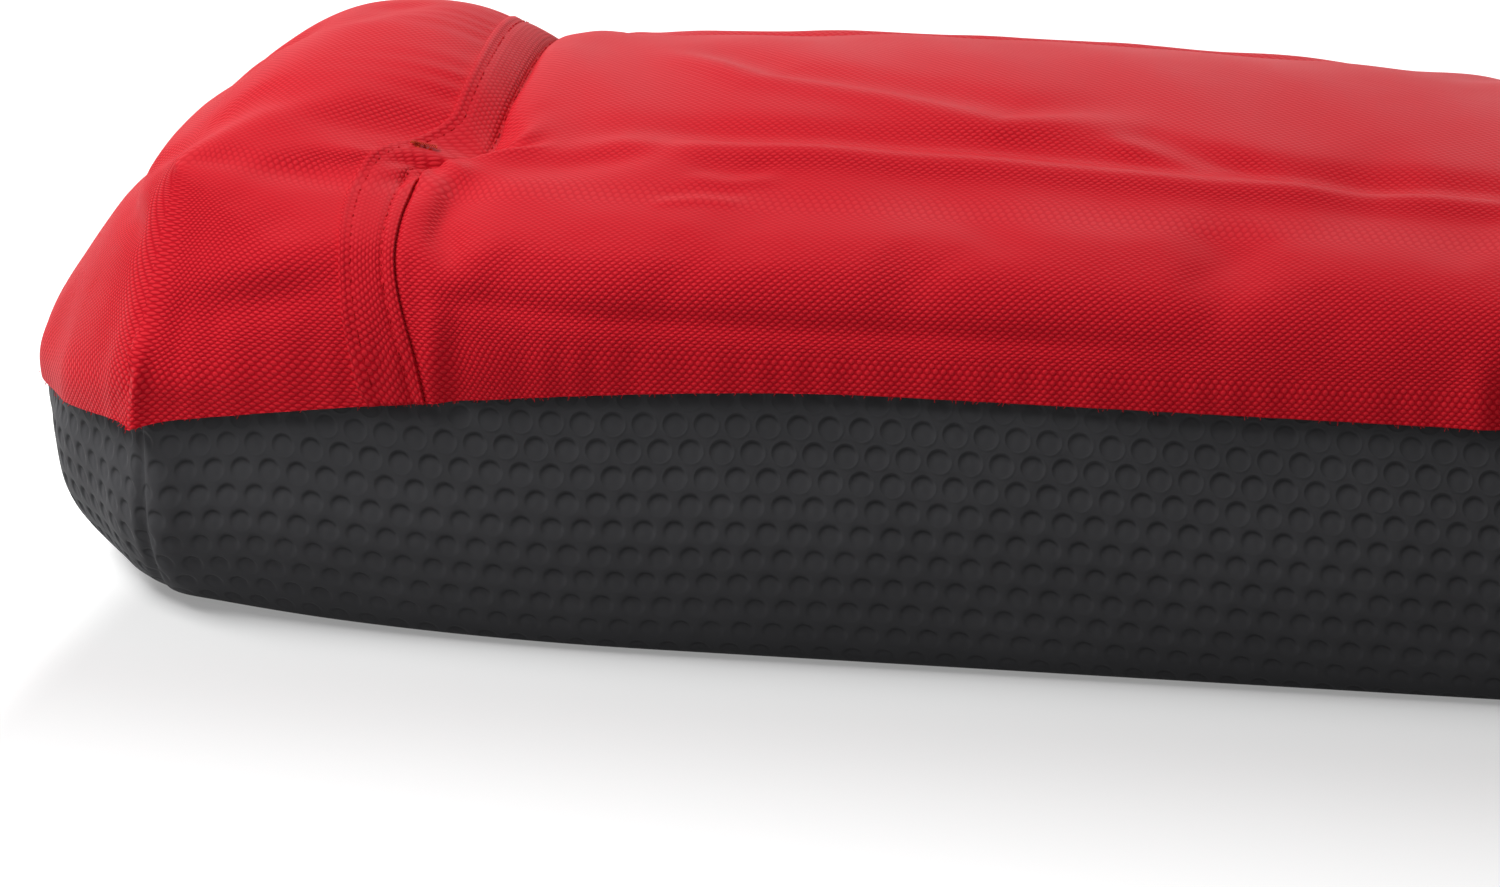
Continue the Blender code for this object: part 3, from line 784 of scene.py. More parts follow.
class MatCoverSettings(bpy.types.PropertyGroup):
    """Cloth, sewing and folds of the covers."""

    cloth: colour_of("Cloth", "Colour of the woven covers", (0.72, 0.0085, 0.021))
    tack: colour_of("Tack", "Colour of the tacks' heavier thread", (0.85, 0.090, 0.030))
    thread: colour_of("Thread", "Colour of the sewing thread", (0.60, 0.006, 0.014))
    weave_along: length_of("Weave along", "Yarn spacing along the mat", 0.00138)
    weave_across: length_of("Weave across", "Yarn spacing across the mat", 0.00125)
    stitch: length_of("Stitch", "Length of one stitch and its gap", 0.0030)
    step: length_of("Mesh step", "Longest step of the cover before it is subdivided", 0.0085)
    fold_height: number_of("Folds", "Share of the folds' measured height", 1.0, min=0, max=2)


class MatBaseSettings(bpy.types.PropertyGroup):
    """Vinyl base and its dots."""

    vinyl: colour_of("Vinyl", "Colour of the base", (0.0640, 0.0640, 0.0680))
    dot_pitch: length_of("Dot pitch", "Spacing of the dots along a row", 0.0107)
    dot_width: length_of("Dot width", "Width of one dot", 0.0086)
    dot_relief: length_of("Dot relief", "Depth of the dots", 0.0010)
    step: length_of("Mesh step", "Longest step of the base before it is subdivided", 0.0100)


class MatFillingSettings(bpy.types.PropertyGroup):
    """Foam, pads and the tie inside the mat."""

    foam: colour_of("Foam", "Colour of the foam blocks", (0.23, 0.235, 0.245))
    pad: colour_of("Pad", "Colour of the floor pads", (0.62, 0.60, 0.55))
    voxel: length_of("Voxel", "Voxel size of the foam's skin", 0.006)


class MatZipSettings(bpy.types.PropertyGroup):
    """Zip in the back seam."""

    tape: colour_of("Tape", "Colour of the zip's tapes", (0.012, 0.012, 0.013))
    coil: colour_of("Coil", "Colour of the zip's coils", (0.016, 0.016, 0.018))
    metal: colour_of("Metal", "Colour of the slider and pull", (0.11, 0.11, 0.12))
    pitch: length_of("Coil pitch", "Length of one turn of the coil", 0.0016)


class MatStageSettings(bpy.types.PropertyGroup):
    """Floor, light and camera."""

    floor: colour_of("Floor", "Colour of the floor", (0.62, 0.62, 0.62))
    lift: number_of("Lift", "Light the floor adds to its own picture beside the mat", 0.28, min=0, max=1)
    sky: number_of("Sky", "Light from all round", 0.16, min=0)
    lamp: number_of("Lamp", "Power of the main lamp", 32, min=0, unit="POWER")
    back_lamp: number_of("Back lamp", "Power of the lamp behind the mat", 15, min=0, unit="POWER")
    front_lamp: number_of("Front lamp", "Power of the lamp before the bolster", 19, min=0, unit="POWER")
    distance: length_of("Camera distance", "From the camera to the middle of its picture", 5.0)
    azimuth: number_of("Azimuth", "Camera's turn round the mat", math.radians(13.5), subtype="ANGLE")
    elevation: number_of("Elevation", "Camera's rise above the horizon", math.radians(13.5), subtype="ANGLE")


def stepped(stops, step):
    """Places from the first to the last stop, with every stop among them and no step longer than step."""
    found = [stops[0]]
    for start, stop in zip(stops, stops[1:]):
        count = max(1, math.ceil((stop - start) / step - 1e-6))
        found += [mix(start, stop, (i + 1) / count) for i in range(count)]
    return np.array(found)


def cover_skin(step):
    """The whole cover in one skin, its parts numbered: bolster 0, under the band 1 and 2, main section 3."""
    fine = stepped([CREASE_X, CREASE_X + 0.012], 0.003)
    seam = np.array([0.0, 0.0018, 0.004])
    along = np.concatenate([
        seam[:-1] - CORNER_X,
        stepped([seam[-1] - CORNER_X, BAND_X], step)[:-1],
        stepped([BAND_X, JOINT_X, CREASE_X], 0.0033)[:-1],
        fine[:-1],
        stepped([fine[-1], -OPENING_X, OPENING_X, CORNER_X - seam[-1]], step)[:-1],
        CORNER_X - seam[::-1],
    ])
    rise = np.linspace(0, 1, WALL_STEPS + 1)
    wall = np.ones(WALL_STEPS)
    inner = np.linspace(-0.94, 0.94, ACROSS_LINES)
    across = np.concatenate([[-1, -0.985, -0.965], inner, [0.965, 0.985, 1]])
    count = len(across)
    v = np.concatenate([-wall, across, wall])[:, None]
    t = np.concatenate([rise[:-1], np.ones(count), rise[-2::-1]])[:, None]
    middle = (along[:-1] + along[1:]) / 2
    parts = np.digitize(middle, [BAND_X, JOINT_X, CREASE_X])
    points = cover_point(along[None, :], v, t)
    u = np.broadcast_to(along[None, :], points.shape[:2])
    edge = bell((1 - t) * 0.075, 0.018) * bell((1 - np.abs(v)) * 0.124, 0.018)
    end = bell(CORNER_X - np.abs(along[None, :]), 0.020) * smooth(1.6 * t - 0.3)
    made_skin = Skin()
    made_skin.add(points, u, run_length(points, 0, WALL_STEPS), parts, np.maximum(edge + 0 * u, end))
    for x, part in ((-CORNER_X, 0), (CORNER_X, 3)):
        points = cover_point(np.full((1, count), x), across[None, :], rise[:, None])
        corner = bell((1 - np.abs(across[None, :])) * 0.15, 0.026) * smooth(1.6 * rise[:, None] - 0.3)
        soft = np.maximum(bell((1 - rise[:, None]) * 0.06, 0.022), corner)
        sideways, upward = run_length(points, 1, count // 2), run_length(points, 0, WALL_STEPS)
        made_skin.add(points, sideways, upward, np.full(count - 1, part), soft)
    return made_skin.object("cover")


def cover_folds(points, cloth):
    """Height of the cover's folds over its stuffed form."""
    x, y, z = points.T
    u = cloth[:, 0]
    top = smooth((z - 0.135) / 0.02)
    sides = np.abs(y) > SIDE_Y
    front = y < -SIDE_Y
    # Slack over the whole top
    wave = np.sin(x * 61 + 1.3) * np.sin(y * 47 + x * 23) + 0.6 * np.sin(x * 113 + y * 91 + 0.7)
    height = 0.0004 * wave * top
    # Lip of the main section along the crease
    past = u - CREASE_X
    lip = smooth(past / 0.003) * np.exp(-np.maximum(past, 0) / 0.014) * between_seams(u)
    height += (0.0008 + 0.0030 * top) * lip
    for line, width, rise, valley, side in COVER_FOLDS:
        height += fold(points, line, width, rise, valley, side) * top
    # Gathers of the bolster along the band
    beside = (BAND_X - u) * between_seams(u)
    gather = np.sin(y * 500 + 1.8 * np.sin(y * 120)) + 0.5 * np.sin(y * 260 + 2.0)
    run_out = smooth(beside / 0.003) * np.exp(-np.maximum(beside, 0) / 0.013)
    height += 0.0004 * gather * run_out * top * smooth((0.115 - np.abs(y)) / 0.02)
    # Dent and rays of the two tucks
    for sign in (-1, 1):
        reach = np.hypot(x - TUCK_PLACE[0], y - sign * TUCK_PLACE[1])
        turn = np.arctan2(y - sign * TUCK_PLACE[1], x - TUCK_PLACE[0])
        height -= 0.0022 * bell(reach, 0.008)
        height += 0.0008 * np.cos(7 * turn + sign) * bell(reach - 0.014, 0.009)
    # Darts at the corner seams
    corner = from_corner(points)
    lapped = 0.0026 * bell(corner - 0.0035, 0.0035)
    under = -0.0014 * bell(corner - 0.003, 0.004) + 0.0010 * bell(corner - 0.016, 0.006)
    dart = np.where(np.abs(x) < CORNER_X, lapped, under) - 0.0022 * bell(corner, 0.0016)
    height += dart * smooth((0.116 - z) / 0.03) * np.where(x < 0, 1.0, 0.4)
    # Waves low on both ends, and a roll under the head's upper edge
    at_end = smooth((np.abs(x) - CORNER_X) / 0.006) * smooth((0.110 - z) / 0.03)
    height += 0.0011 * np.sin(y * 88 + 2.2) * np.cos(y * 31) * at_end
    roll = 0.0018 * bell(z - 0.147, 0.008) - 0.0026 * bell(z - 0.131, 0.006)
    height += roll * smooth((-0.53 - x) / 0.012)
    # Long fold on the front wall, puckers of the hem and a slanting fold beside the band
    along = smooth((x + 0.432) / 0.03) * smooth((-0.12 - x) / 0.12) * front
    level = z - 0.1185 - 0.003 * bell(x + 0.41, 0.03)
    height += along * (0.0016 * bell(level - 0.014, 0.010) - 0.0013 * bell(level, 0.0040))
    height += 0.0002 * np.sin(x * 420 + 1.6 * np.sin(x * 85)) * smooth((0.116 - z) / 0.012) * sides
    slope = z - 0.112 - 0.25 * (x + 0.50)
    height += 0.0018 * (bell(slope - 0.010, 0.008) - bell(slope, 0.007)) * bell(x + 0.482, 0.026) * front
    low = smooth((0.128 - z) / 0.02)
    for place_x, width, rise in SIDE_PUCKERS:
        pucker = bell(x - place_x, width) - 0.8 * bell(x - place_x - 1.7 * width, width)
        height += rise * pucker * low * sides
    return height


# Folds of the top: their line in plan, width, height, share of the valley beside them and the valley's side
COVER_FOLDS = (
    (
        [(-0.434, -0.106), (-0.417, -0.098), (-0.398, -0.092), (-0.380, -0.090), (-0.323, -0.093),
         (-0.243, -0.095), (-0.165, -0.099), (-0.071, -0.098), (0.060, -0.100)],
        0.0075, 0.0034, 1.0, 1.0,
    ),
    (
        [(-0.395, 0.010), (-0.341, -0.035), (-0.304, -0.048), (-0.248, -0.067), (-0.190, -0.056)],
        0.008, 0.0022, 1.0, 1.0,
    ),
    ([(-0.215, -0.070), (-0.185, -0.081), (-0.150, -0.095)], 0.005, 0.0014, 0.8, 1.0),
    ([(-0.425, -0.108), (-0.393, -0.104), (-0.375, -0.099), (-0.345, -0.085)], 0.008, -0.0014, 0.4, -1.0),
    ([(-0.357, -0.128), (-0.339, -0.124), (-0.322, -0.124)], 0.0030, 0.0008, 0.6, 1.0),
    ([(-0.350, -0.110), (-0.331, -0.112), (-0.312, -0.108)], 0.0035, 0.0008, 0.6, 1.0),
    ([(-0.440, -0.094), (-0.457, -0.099), (-0.477, -0.101), (-0.510, -0.110)], 0.007, 0.0016, 0.5, 1.0),
    (
        [(-0.434, 0.104), (-0.405, 0.088), (-0.345, 0.083), (-0.230, 0.092), (-0.120, 0.088)],
        0.0075, 0.0030, 1.0, -1.0,
    ),
    ([(-0.040, 0.050), (0.060, 0.066), (0.170, 0.060)], 0.009, 0.0020, 0.9, -1.0),
    ([(0.110, -0.100), (0.230, -0.082), (0.350, -0.092), (0.450, -0.078)], 0.008, 0.0026, 1.0, 1.0),
    ([(0.280, 0.020), (0.370, -0.012), (0.460, -0.006)], 0.009, 0.0020, 0.9, 1.0),
    ([(0.300, 0.098), (0.400, 0.084), (0.480, 0.092)], 0.007, 0.0022, 0.9, -1.0),
)

# Upright puckers low on both side walls: place along the mat, width and height
SIDE_PUCKERS = (
    (-0.421, 0.005, 0.0012),
    (-0.063, 0.006, 0.0016),
    (0.190, 0.007, 0.0012),
    (0.330, 0.006, 0.0010),
)


def stuffed_cover(step):
    """The filled cover: rounded at its seams, loosened by the simulation, smoothed and subdivided."""
    cover = cover_skin(step)
    mesh = cover.data
    hem_line = open_edge(mesh)
    place(mesh, relaxed(mesh, points_of(mesh), 0.55 * softness_of(mesh) * ~hem_line, rounds=18))
    points = points_of(mesh)
    corner = from_corner(points)
    upright = bell(corner, 0.026) * smooth((points[:, 2] - 0.088) / 0.03) * ~hem_line
    rounded = relaxed(mesh, points, 0.6 * upright, rounds=90)
    points = np.c_[rounded[:, :2], points[:, 2]]
    tail = bell(points[:, 0] - CORNER_X, 0.030) * smooth((points[:, 2] - 0.125) / 0.02)
    place(mesh, relaxed(mesh, points, 0.6 * tail, rounds=60))
    u = cloth_of(mesh)[:, 0]
    sewn = (u > BAND_X - SAME) & (u < CREASE_X + SAME)
    blown_up(cover, np.where(hem_line | sewn, 1.0, 0.1), pressure=1.6, slack=0.008, most=0.003)
    points = points_of(mesh)
    wall = smooth((0.132 - points[:, 2]) / 0.02) * (1 - bell(corner, 0.03)) * ~hem_line
    place(mesh, relaxed(mesh, points, 0.5 * wall, rounds=8))
    return applied(cover, "SUBSURF", levels=2, render_levels=2)


def fold_cover(mesh, share):
    """Folds the cover, and returns how far the bowed crease has drawn each vertex towards the tail."""
    points = points_of(mesh)
    cloth = cloth_of(mesh)
    u = cloth[:, 0]
    height = cover_folds(points, cloth) * share
    points = points + normals_of(mesh) * height[:, None]
    low = smooth((0.095 - points[:, 2]) / 0.02)
    tip = bell(from_corner(points), 0.008) * low * np.where(points[:, 0] < 0, 1.0, 0.3)
    points += np.stack([np.sign(points[:, 0]) * 0.0022 * tip, 0 * tip, -0.0022 * tip], axis=1)
    deep = smooth((points[:, 2] - 0.135) / 0.015) * smooth((0.105 - np.abs(points[:, 1])) / 0.02)
    bowed = bow(u, points[:, 1]) * smooth((points[:, 2] - 0.125) / 0.02) * between_seams(u)
    points[:, 0] += bowed
    beside_zip = bell(points[:, 0] + OPENING_X + 0.008, 0.016) * smooth((0.112 - points[:, 2]) / 0.007)
    points[:, 1] -= 0.0011 * beside_zip * (points[:, 1] > SIDE_Y)
    points[:, 0] -= LIP_LAP * deep * bell(u - CREASE_X - 0.0050, 0.0042) * (u < 0)
    place(mesh, points)
    return bowed


class MAT_OT_covers(bpy.types.Operator):
    """Sews the two woven covers and the band between them"""

    bl_idname = "mat.covers"
    bl_label = "Covers and band"

    def execute(self, context):
        settings = context.scene.mat_cover
        pitch = (settings.weave_along, settings.weave_across)
        cover = stuffed_cover(settings.step)
        bowed = fold_cover(cover.data, settings.fold_height)
        cloth = woven("red woven cloth", settings.cloth, pitch)
        strip = woven("red woven band", shade(settings.cloth, 0.93), pitch, turned=True)
        band = part_of(cover, "crease_band_strip", (1, 2))
        slide(cover.data, bowed)
        for name, keep, cut, filling in (
            ("head_cover", (0, 1), HEAD_COVER_FLAT, "bolster_foam_block"),
            ("main_cover", (2, 3), MAIN_COVER_FLAT, "main_foam_block"),
        ):
            piece = part_of(cover, name + "_cloth", keep)
            piece.data.materials.append(cloth)
            attached(piece, name)
        u = cloth_of(band.data)[:, 0]
        sewn_down = bell(u - STITCH_ROWS[1], 0.0010) + 0.7 * bell(u - STITCH_ROWS[0], 0.0010)
        lift = 0.0011 + 0.0004 * bell(u - CREASE_X + 0.0016, 0.0016) - 0.0006 * sewn_down
        place(band.data, points_of(band.data) + normals_of(band.data) * lift[:, None])
        applied(band, "SOLIDIFY", thickness=0.001, offset=-1.0)
        band.data.materials.append(strip)
        attached(band, "crease_band")
        bpy.data.objects.remove(cover)
        return {"FINISHED"}


def base_skin(step):
    """The dotted base in one skin: the wrap 0, the head panel 1 and the tail panel 2."""
    along = stepped([-CORNER_X, -OPENING_X, OPENING_X, CORNER_X], step)
    rise = np.linspace(0, 1, WALL_STEPS + 1)
    wall = np.ones(WALL_STEPS)
    across = np.linspace(-1, 1, ACROSS_LINES)
    middle = ACROSS_LINES // 2
    v = np.concatenate([-wall, across, wall])[:, None]
    t = np.concatenate([rise[:0:-1], np.zeros(ACROSS_LINES), rise[1:]])[:, None]
    points = base_point(along[None, :], v, t)
    u = np.broadcast_to(along[None, :], points.shape[:2])
    made_skin = Skin()
    edge = bell(t * 0.10, 0.010) * bell((1 - np.abs(v)) * 0.14, 0.010)
    edge = np.maximum(edge + 0 * u, bell(CORNER_X - np.abs(u), 0.008) * (t == 0))
    drawn = 0.035 * u + 0.30 * np.maximum(-0.20 - u, 0) ** 2
    from_middle = np.abs(run_length(points, 0, WALL_STEPS + middle))
    made_skin.add(points, u, from_middle + drawn, np.zeros(len(along) - 1), edge)
    for x, part in ((-CORNER_X, 1), (CORNER_X, 2)):
        points = base_point(np.full((1, ACROSS_LINES), x), across[None, :], rise[:, None])
        soft = bell(rise[:, None] * 0.08, 0.010) + 0 * points[..., 0]
        sideways, upward = run_length(points, 1, middle), run_length(points, 0, 0)
        made_skin.add(points, sideways, upward, np.full(ACROSS_LINES - 1, part), soft)
    return made_skin.object("base")


def dot_depth(cloth, settings):
    """Depth of the vinyl's round dimples: each is deep along its upper edge and runs out at its lower one."""
    pitch, radius = settings.dot_pitch, settings.dot_width / 2
    row = pitch * math.sqrt(3)
    depth = 0.0
    for shift, rise in ((0.0, 0.0), (pitch / 2, row / 2)):
        x = (cloth[:, 0] + shift + pitch / 2) % pitch - pitch / 2
        y = (cloth[:, 1] + rise + row / 2) % row - row / 2
        recess = smooth((radius - np.hypot(x, y)) / (0.32 * radius))
        depth = np.maximum(depth, recess * smooth((y + radius) / (2 * radius)))
    return settings.dot_relief * depth


class MAT_OT_base(bpy.types.Operator):
    """Sews the dotted vinyl base from its wrap and two end panels"""

    bl_idname = "mat.base"
    bl_label = "Dotted base"

    def execute(self, context):
        settings = context.scene.mat_base
        base = base_skin(settings.step)
        mesh = base.data
        place(mesh, relaxed(mesh, points_of(mesh), 0.5 * softness_of(mesh) * ~open_edge(mesh), rounds=2))
        applied(base, "SUBSURF", levels=3, render_levels=3)
        mesh = base.data
        points = points_of(mesh)
        x, y, z = points.T
        corner = np.hypot(np.abs(x) - CORNER_X, np.maximum(0, 0.10 - np.abs(y)))
        seam = -0.0022 * bell(corner, 0.0025) + 0.0012 * bell(corner - 0.010, 0.006)
        slack = 0.0005 * np.sin(x * 37 + 0.6) * np.sin(z * 60) * smooth(z / 0.03)
        at_end = smooth((np.abs(x) - CORNER_X) / 0.004)
        dents = 0.0010 * np.sin(y * 95 + z * 70) - 0.0018 * bell(corner - 0.008, 0.006)
        slack += at_end * dents * smooth(z / 0.02)
        dots = dot_depth(cloth_of(mesh), settings) * (1 - bell(corner, 0.005)) * smooth((z - 0.003) / 0.015)
        full = 0.004 * smooth((z - 0.030) / 0.04) * smooth((hem(x, 0.0) - 0.001 - z) / 0.014)
        full = full * smooth((np.abs(x) - CORNER_X) / 0.03)
        points = points + normals_of(mesh) * (seam * smooth(z / 0.012) + slack - dots)[:, None]
        points[:, 0] += np.sign(x) * full
        place(mesh, points)
        vinyl = dotted_vinyl("dotted vinyl", settings)
        cuts = {"base_wrap": WRAP_FLAT, "base_end_head": END_FLAT, "base_end_tail": END_FLAT}
        for number, (name, cut) in enumerate(cuts.items()):
            piece = part_of(base, name + "_sheet", (number,))
            piece.data.materials.append(vinyl)
            attached(piece, name)
        bpy.data.objects.remove(base)
        return {"FINISHED"}


def hem_hairs(rng):
    """Short thread ends along the covers' hems, away from the zip."""
    hairs = []
    for name in ("head_cover_cloth", "main_cover_cloth"):
        mesh = bpy.data.objects[name].data
        edge, out = points_of(mesh), normals_of(mesh)
        zipped = (edge[:, 1] > 0) & (np.abs(edge[:, 0]) < OPENING_X + ZIP_OPENING_STEP)
        spots = np.flatnonzero(open_edge(mesh) & (edge[:, 2] < 0.104) & ~zipped)
        for i in rng.choice(spots, size=len(spots) // 2):
            way = np.array([rng.uniform(-1, 1), rng.uniform(-0.6, 0.6), -1.0]) + 0.5 * out[i]
            foot = edge[i] + rng.uniform(-0.001, 0.001, 3) * (1, 0.2, 0)
            reach = rng.uniform(0.0005, 0.0013) * way / np.linalg.norm(way)
            tip = foot + reach + rng.uniform(-0.0003, 0.0003, 3)
            hairs.append([foot - 0.3 * reach, foot + 0.5 * reach, tip])
    return hairs


def tack_runs(rng, aim, points, normals):
    """The zigzag bar of a tack, sewn on the points of the band nearest to its aim, and its loose ends."""
    nearest = np.argsort(np.linalg.norm((points - aim)[:, :2], axis=1))[:60]
    upward = nearest[normals[nearest][:, 2] > 0.2]
    seat = points[upward].mean(axis=0)
    normal = normals[upward].mean(axis=0)
    normal /= np.linalg.norm(normal)
    side = np.cross(normal, (1.0, 0.0, 0.0))
    side /= np.linalg.norm(side)
    along = np.cross(side, normal)
    turns = 28
    bar = []
    for i in range(turns + 1):
        swing = TACK_SWING * (1 if i % 2 else -1)
        bar.append(seat + along * (i / turns - 0.5) * TACK_LENGTH + side * swing + normal * TACK_LIFT)
    runs = [bar]
    for _ in range(6):
        foot = seat + along * rng.uniform(-0.004, 0.004) + side * rng.uniform(-0.002, 0.002)
        lean = along * rng.uniform(-1, 1) + side * rng.uniform(-1, 1) + normal * rng.uniform(0.2, 0.8)
        reach = rng.uniform(0.0015, 0.0032)
        runs.append([foot, foot + lean * reach * 0.5, foot + lean * reach - normal * reach * 0.2])
    return runs


class MAT_OT_sewing(bpy.types.Operator):
    """Adds the stitches, the two thread tacks and the frayed thread ends"""

    bl_idname = "mat.sewing"
    bl_label = "Stitches and threads"

    def execute(self, context):
        settings = context.scene.mat_cover
        sewn = thread("red sewing thread", settings.thread)
        bar_thread = thread("orange red tack thread", settings.tack)
        band = bpy.data.objects["crease_band_strip"].data
        points, normals, cloth = points_of(band), normals_of(band), cloth_of(band)
        runs = []
        columns = np.unique(np.round(cloth[:, 0], 5))
        for place_x in STITCH_ROWS:
            nearest = columns[np.argmin(np.abs(columns - place_x))]
            line = np.abs(cloth[:, 0] - nearest) < 3e-5
            order = np.argsort(cloth[line, 1])
            runs += stitches(points[line][order], normals[line][order], settings.stitch)
        attached(curve("band_stitches", runs, STITCH_THREAD, sewn))
        rng = np.random.default_rng(7)
        attached(curve("hem_fray", hem_hairs(rng), FRAY_THREAD, sewn))
        for name, sign in (("crease_tack_front", -1), ("crease_tack_back", 1)):
            low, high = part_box(name)
            aim = np.array((low + high) / 2) + (0.004, 0.008 * sign, 0.0)
            tack = curve(name + "_thread", tack_runs(rng, aim, points, normals), TACK_THREAD, bar_thread)
            attached(tack, name)
        return {"FINISHED"}


def stitches(points, normals, pitch):
    """Short arched stitches along a line on a surface."""
    length = np.concatenate([[0], np.cumsum(np.linalg.norm(np.diff(points, axis=0), axis=1))])
    found = []
    for start in np.arange(pitch, length[-1] - pitch, pitch):
        at = start + pitch * np.array([0.0, 0.15, 0.8, 0.95])
        spots = np.stack([np.interp(at, length, points[:, i]) for i in range(3)], axis=1)
        out = np.stack([np.interp(at, length, normals[:, i]) for i in range(3)], axis=1)
        found.append(spots + out * np.array([-0.0003, 0.0002, 0.0002, -0.0003])[:, None])
    return found


class MAT_OT_filling(bpy.types.Operator):
    """Fills the mat with its foam blocks, floor pads and the tie in the crease"""

    bl_idname = "mat.filling"
    bl_label = "Foam, pads and tie"

    def execute(self, context):
        settings = context.scene.mat_filling
        blocks = foam("grey foam", settings.foam)
        pads = firm_foam("white closed-cell foam", settings.pad)
        tie = ribbed_tape("tie cloth", context.scene.mat_zip.tape, 0.0009)
        for node, name, finish, voxel, slot in (
            ("bolster_foam", "bolster_foam_block", blocks, settings.voxel, "grey_foam"),
            ("main_foam", "main_foam_block", blocks, settings.voxel, "grey_foam"),
            ("base_pad_head", "base_pad_head_block", pads, PAD_VOXEL, "white_pad"),
            ("base_pad_main", "base_pad_main_block", pads, PAD_VOXEL, "white_pad"),
            ("divider_web", "divider_web_cloth", tie, 0.0, "black_tape"),
        ):
            piece = bpy.data.objects.new(name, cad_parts[node].data.copy())
            context.scene.collection.objects.link(piece)
            if voxel:
                applied(piece, "REMESH", mode="VOXEL", voxel_size=voxel)
                mesh = piece.data
                place(mesh, relaxed(mesh, points_of(mesh), np.full(len(mesh.vertices), 0.5), rounds=3))
            mesh = piece.data
            points = points_of(mesh)
            if slot == "white_pad":
                points[:, 1] *= PAD_WIDTH_SHARE
                reach = np.abs(points[:, 0])
                points[:, 0] = np.sign(points[:, 0]) * (reach - PAD_END_GAP * (reach > 0.5))
            if slot == "grey_foam":
                across = np.clip(points[:, 1] / (MAT_WIDTH / 2 - SHOULDER_TUCK), -1, 1)
                top = shoulder(points[:, 0]) + crown(np.clip(points[:, 0], -CORNER_X, CORNER_X), across)
                points[:, 2] = np.minimum(points[:, 2], top - FOAM_GAP)
            points[:, 0] += bow(points[:, 0], points[:, 1]) * smooth((points[:, 2] - 0.02) / 0.1)
            place(mesh, points)
            mesh.materials.clear()
            mesh.materials.append(finish)
            mesh.shade_smooth()
            attached(piece, node)
        return {"FINISHED"}


class MAT_OT_zip(bpy.types.Operator):
    """Winds the zip's coils and finishes its tapes, stops, slider and pull"""

    bl_idname = "mat.zip"
    bl_label = "Zip"

    def execute(self, context):
        settings = context.scene.mat_zip
        tape = ribbed_tape("zip tape", settings.tape, 0.0007)
        coil = nylon("zip coil", settings.coil)
        metal = dark_metal("dark plated metal", settings.metal)
        wire = 0.0007
        points_a_turn = 10
        for name in ("zip_coil_upper", "zip_coil_lower"):
            low, high = (np.array(c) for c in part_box(name))
            turns = (high[0] - low[0] - wire) / settings.pitch
            angle = np.arange(0, turns * 2 * math.pi, 2 * math.pi / points_a_turn)
            middle = (low + high) / 2
            half = (high - low) / 2 - wire / 2
            run = np.stack([
                low[0] + wire / 2 + settings.pitch * angle / (2 * math.pi),
                middle[1] + half[1] * np.cos(angle),
                middle[2] + half[2] * np.sin(angle),
            ], axis=1)
            attached(curve(name + "_wire", [run], wire, coil), name)
        for name in ("zip_tape_upper", "zip_tape_lower", "zip_stay_tape"):
            finished(name, tape)
        for name in ("zip_stop_open", "zip_stop_closed", "zip_slider", "zip_pull"):
            finished(name, metal)
        return {"FINISHED"}


def finished(node, material):
    """Gives a node that keeps its shape its finish."""
    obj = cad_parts[node]
    for slot in obj.material_slots:
        slot.material = material


def seen(tree):
    """1 for rays that end in the picture: from the camera, by a glossy surface or through a clear one."""
    path = tree.nodes.new("ShaderNodeLightPath")
    kinds = ("Camera", "Glossy", "Transmission")
    first, second, third = (Wire(path.outputs[f"Is {kind} Ray"]) for kind in kinds)
    return first + second + third


def white_paper(settings):
    """Paper that adds light to its own picture, more of it further from the mat."""
    paper = Finish("white paper", roughness=0.95, specular_ior_level=0.0, emission_strength=1.0)
    light = seen(paper.tree)
    x, y = paper.axes(paper.place(), "XY")
    past = (x.size() - CORNER_X) * 10
    beside = ((y - 0.10) * 3).most(-MAT_WIDTH / 2 - y)
    past, beside = (d.most(0.0) for d in (past, beside))
    away = paper.ease((past * past + beside * beside).root(), 0.02, 0.45, settings.lift, 0.75)
    glow = paper.blend(light * away, (0.0, 0.0, 0.0), (1.0, 1.0, 1.0))
    paper.feed(emission_color=glow)
    paper.feed(base_color=paper.blend(light, shade(settings.floor, 0.75), settings.floor))
    return paper.material


def pointed(name, data, spot, way):
    """A lamp or camera at a spot, looking along a way."""
    holder = bpy.data.objects.new(name, data)
    holder.location = spot
    holder.rotation_mode = "QUATERNION"
    holder.rotation_quaternion = way.to_track_quat("-Z", "Y")
    bpy.context.scene.collection.objects.link(holder)
    return holder


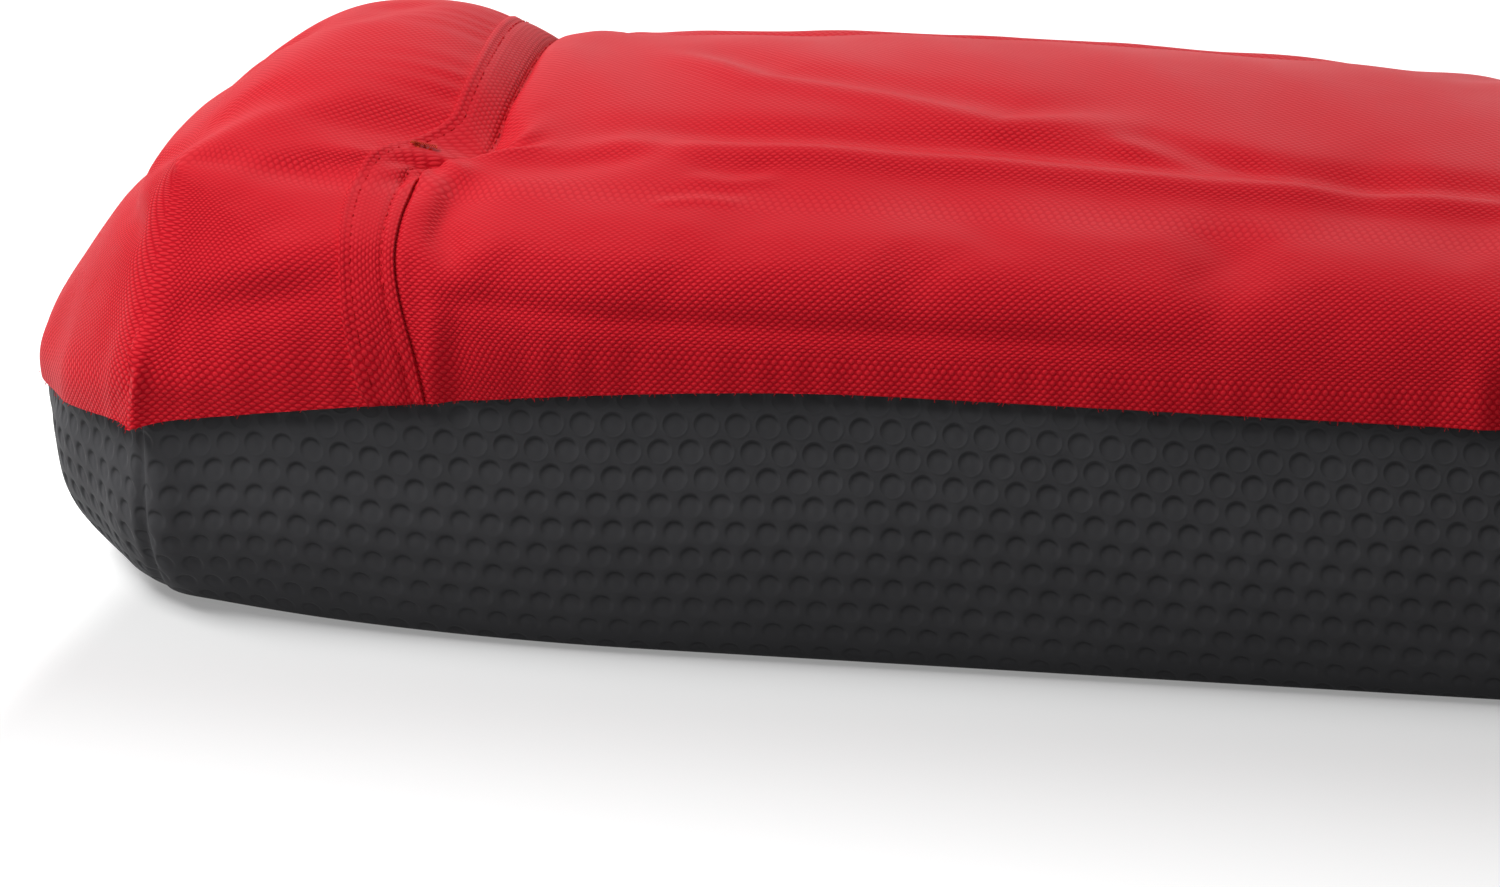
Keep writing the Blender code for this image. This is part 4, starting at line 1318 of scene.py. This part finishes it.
class MAT_OT_stage(bpy.types.Operator):
    """Sets the floor, the light and the camera"""

    bl_idname = "mat.stage"
    bl_label = "Studio"

    def execute(self, context):
        settings = context.scene.mat_stage
        scene = context.scene
        scene.view_settings.view_transform = "Standard"
        bm = bmesh.new()
        bmesh.ops.create_grid(bm, x_segments=1, y_segments=1, size=FLOOR_SIZE)
        floor = made("studio_floor", bm)
        floor.location.z = -FLOOR_DROP
        floor.data.materials.append(white_paper(settings))
        world = bpy.data.worlds.new("white surround")
        scene.world = world
        world.use_nodes = True
        surround = world.node_tree.nodes["Background"].inputs
        surround["Color"].default_value = (1, 1, 1, 1)
        strength = settings.sky + (1 - settings.sky) * seen(world.node_tree)
        join(world.node_tree, surround["Strength"], strength)
        for name, power, spot, size in (
            ("left_softbox", settings.lamp, (-1.7, -0.3, 1.7), (1.2, 1.0)),
            ("back_softbox", settings.back_lamp, (0.2, 1.6, 1.9), (2.4, 1.2)),
            ("front_softbox", settings.front_lamp, (-1.5, -1.2, 1.8), (1.0, 0.8)),
        ):
            lamp = bpy.data.lights.new(name, "AREA")
            lamp.shape = "RECTANGLE"
            lamp.size, lamp.size_y = size
            lamp.energy = power
            pointed(name, lamp, spot, LAMP_WAY)
        camera = bpy.data.cameras.new("camera")
        camera.lens = 360
        camera.sensor_width = 36
        camera.clip_end = 100
        a, e = settings.azimuth, settings.elevation
        back = Vector((math.sin(a) * math.cos(e), -math.cos(a) * math.cos(e), math.sin(e)))
        scene.camera = pointed("camera", camera, PICTURE_MIDDLE + back * settings.distance, -back)
        return {"FINISHED"}


OPERATORS = (MAT_OT_covers, MAT_OT_base, MAT_OT_sewing, MAT_OT_filling, MAT_OT_zip, MAT_OT_stage)
SETTINGS = {
    "mat_cover": MatCoverSettings,
    "mat_base": MatBaseSettings,
    "mat_filling": MatFillingSettings,
    "mat_zip": MatZipSettings,
    "mat_stage": MatStageSettings,
}


class MAT_PT_dressing(bpy.types.Panel):
    """Lists the steps that dress the mat"""

    bl_idname = "MAT_PT_dressing"
    bl_label = "Landing mat"
    bl_space_type = "VIEW_3D"
    bl_region_type = "UI"
    bl_category = "Mat"

    def draw(self, context):
        for operator in OPERATORS:
            self.layout.operator(operator.bl_idname)
        for name, group in SETTINGS.items():
            box = self.layout.box()
            for key in group.__annotations__:
                box.prop(getattr(context.scene, name), key)


def register():
    for group in SETTINGS.values():
        bpy.utils.register_class(group)
    for name, group in SETTINGS.items():
        setattr(bpy.types.Scene, name, bpy.props.PointerProperty(type=group))
    for operator in OPERATORS:
        bpy.utils.register_class(operator)
    bpy.utils.register_class(MAT_PT_dressing)


def unregister():
    bpy.utils.unregister_class(MAT_PT_dressing)
    for operator in reversed(OPERATORS):
        bpy.utils.unregister_class(operator)
    for name, group in SETTINGS.items():
        delattr(bpy.types.Scene, name)
        bpy.utils.unregister_class(group)


def main():
    register()
    bpy.ops.mat.covers()
    bpy.ops.mat.base()
    bpy.ops.mat.sewing()
    bpy.ops.mat.filling()
    bpy.ops.mat.zip()
    bpy.ops.mat.stage()


if __name__ == "__main__":
    main()
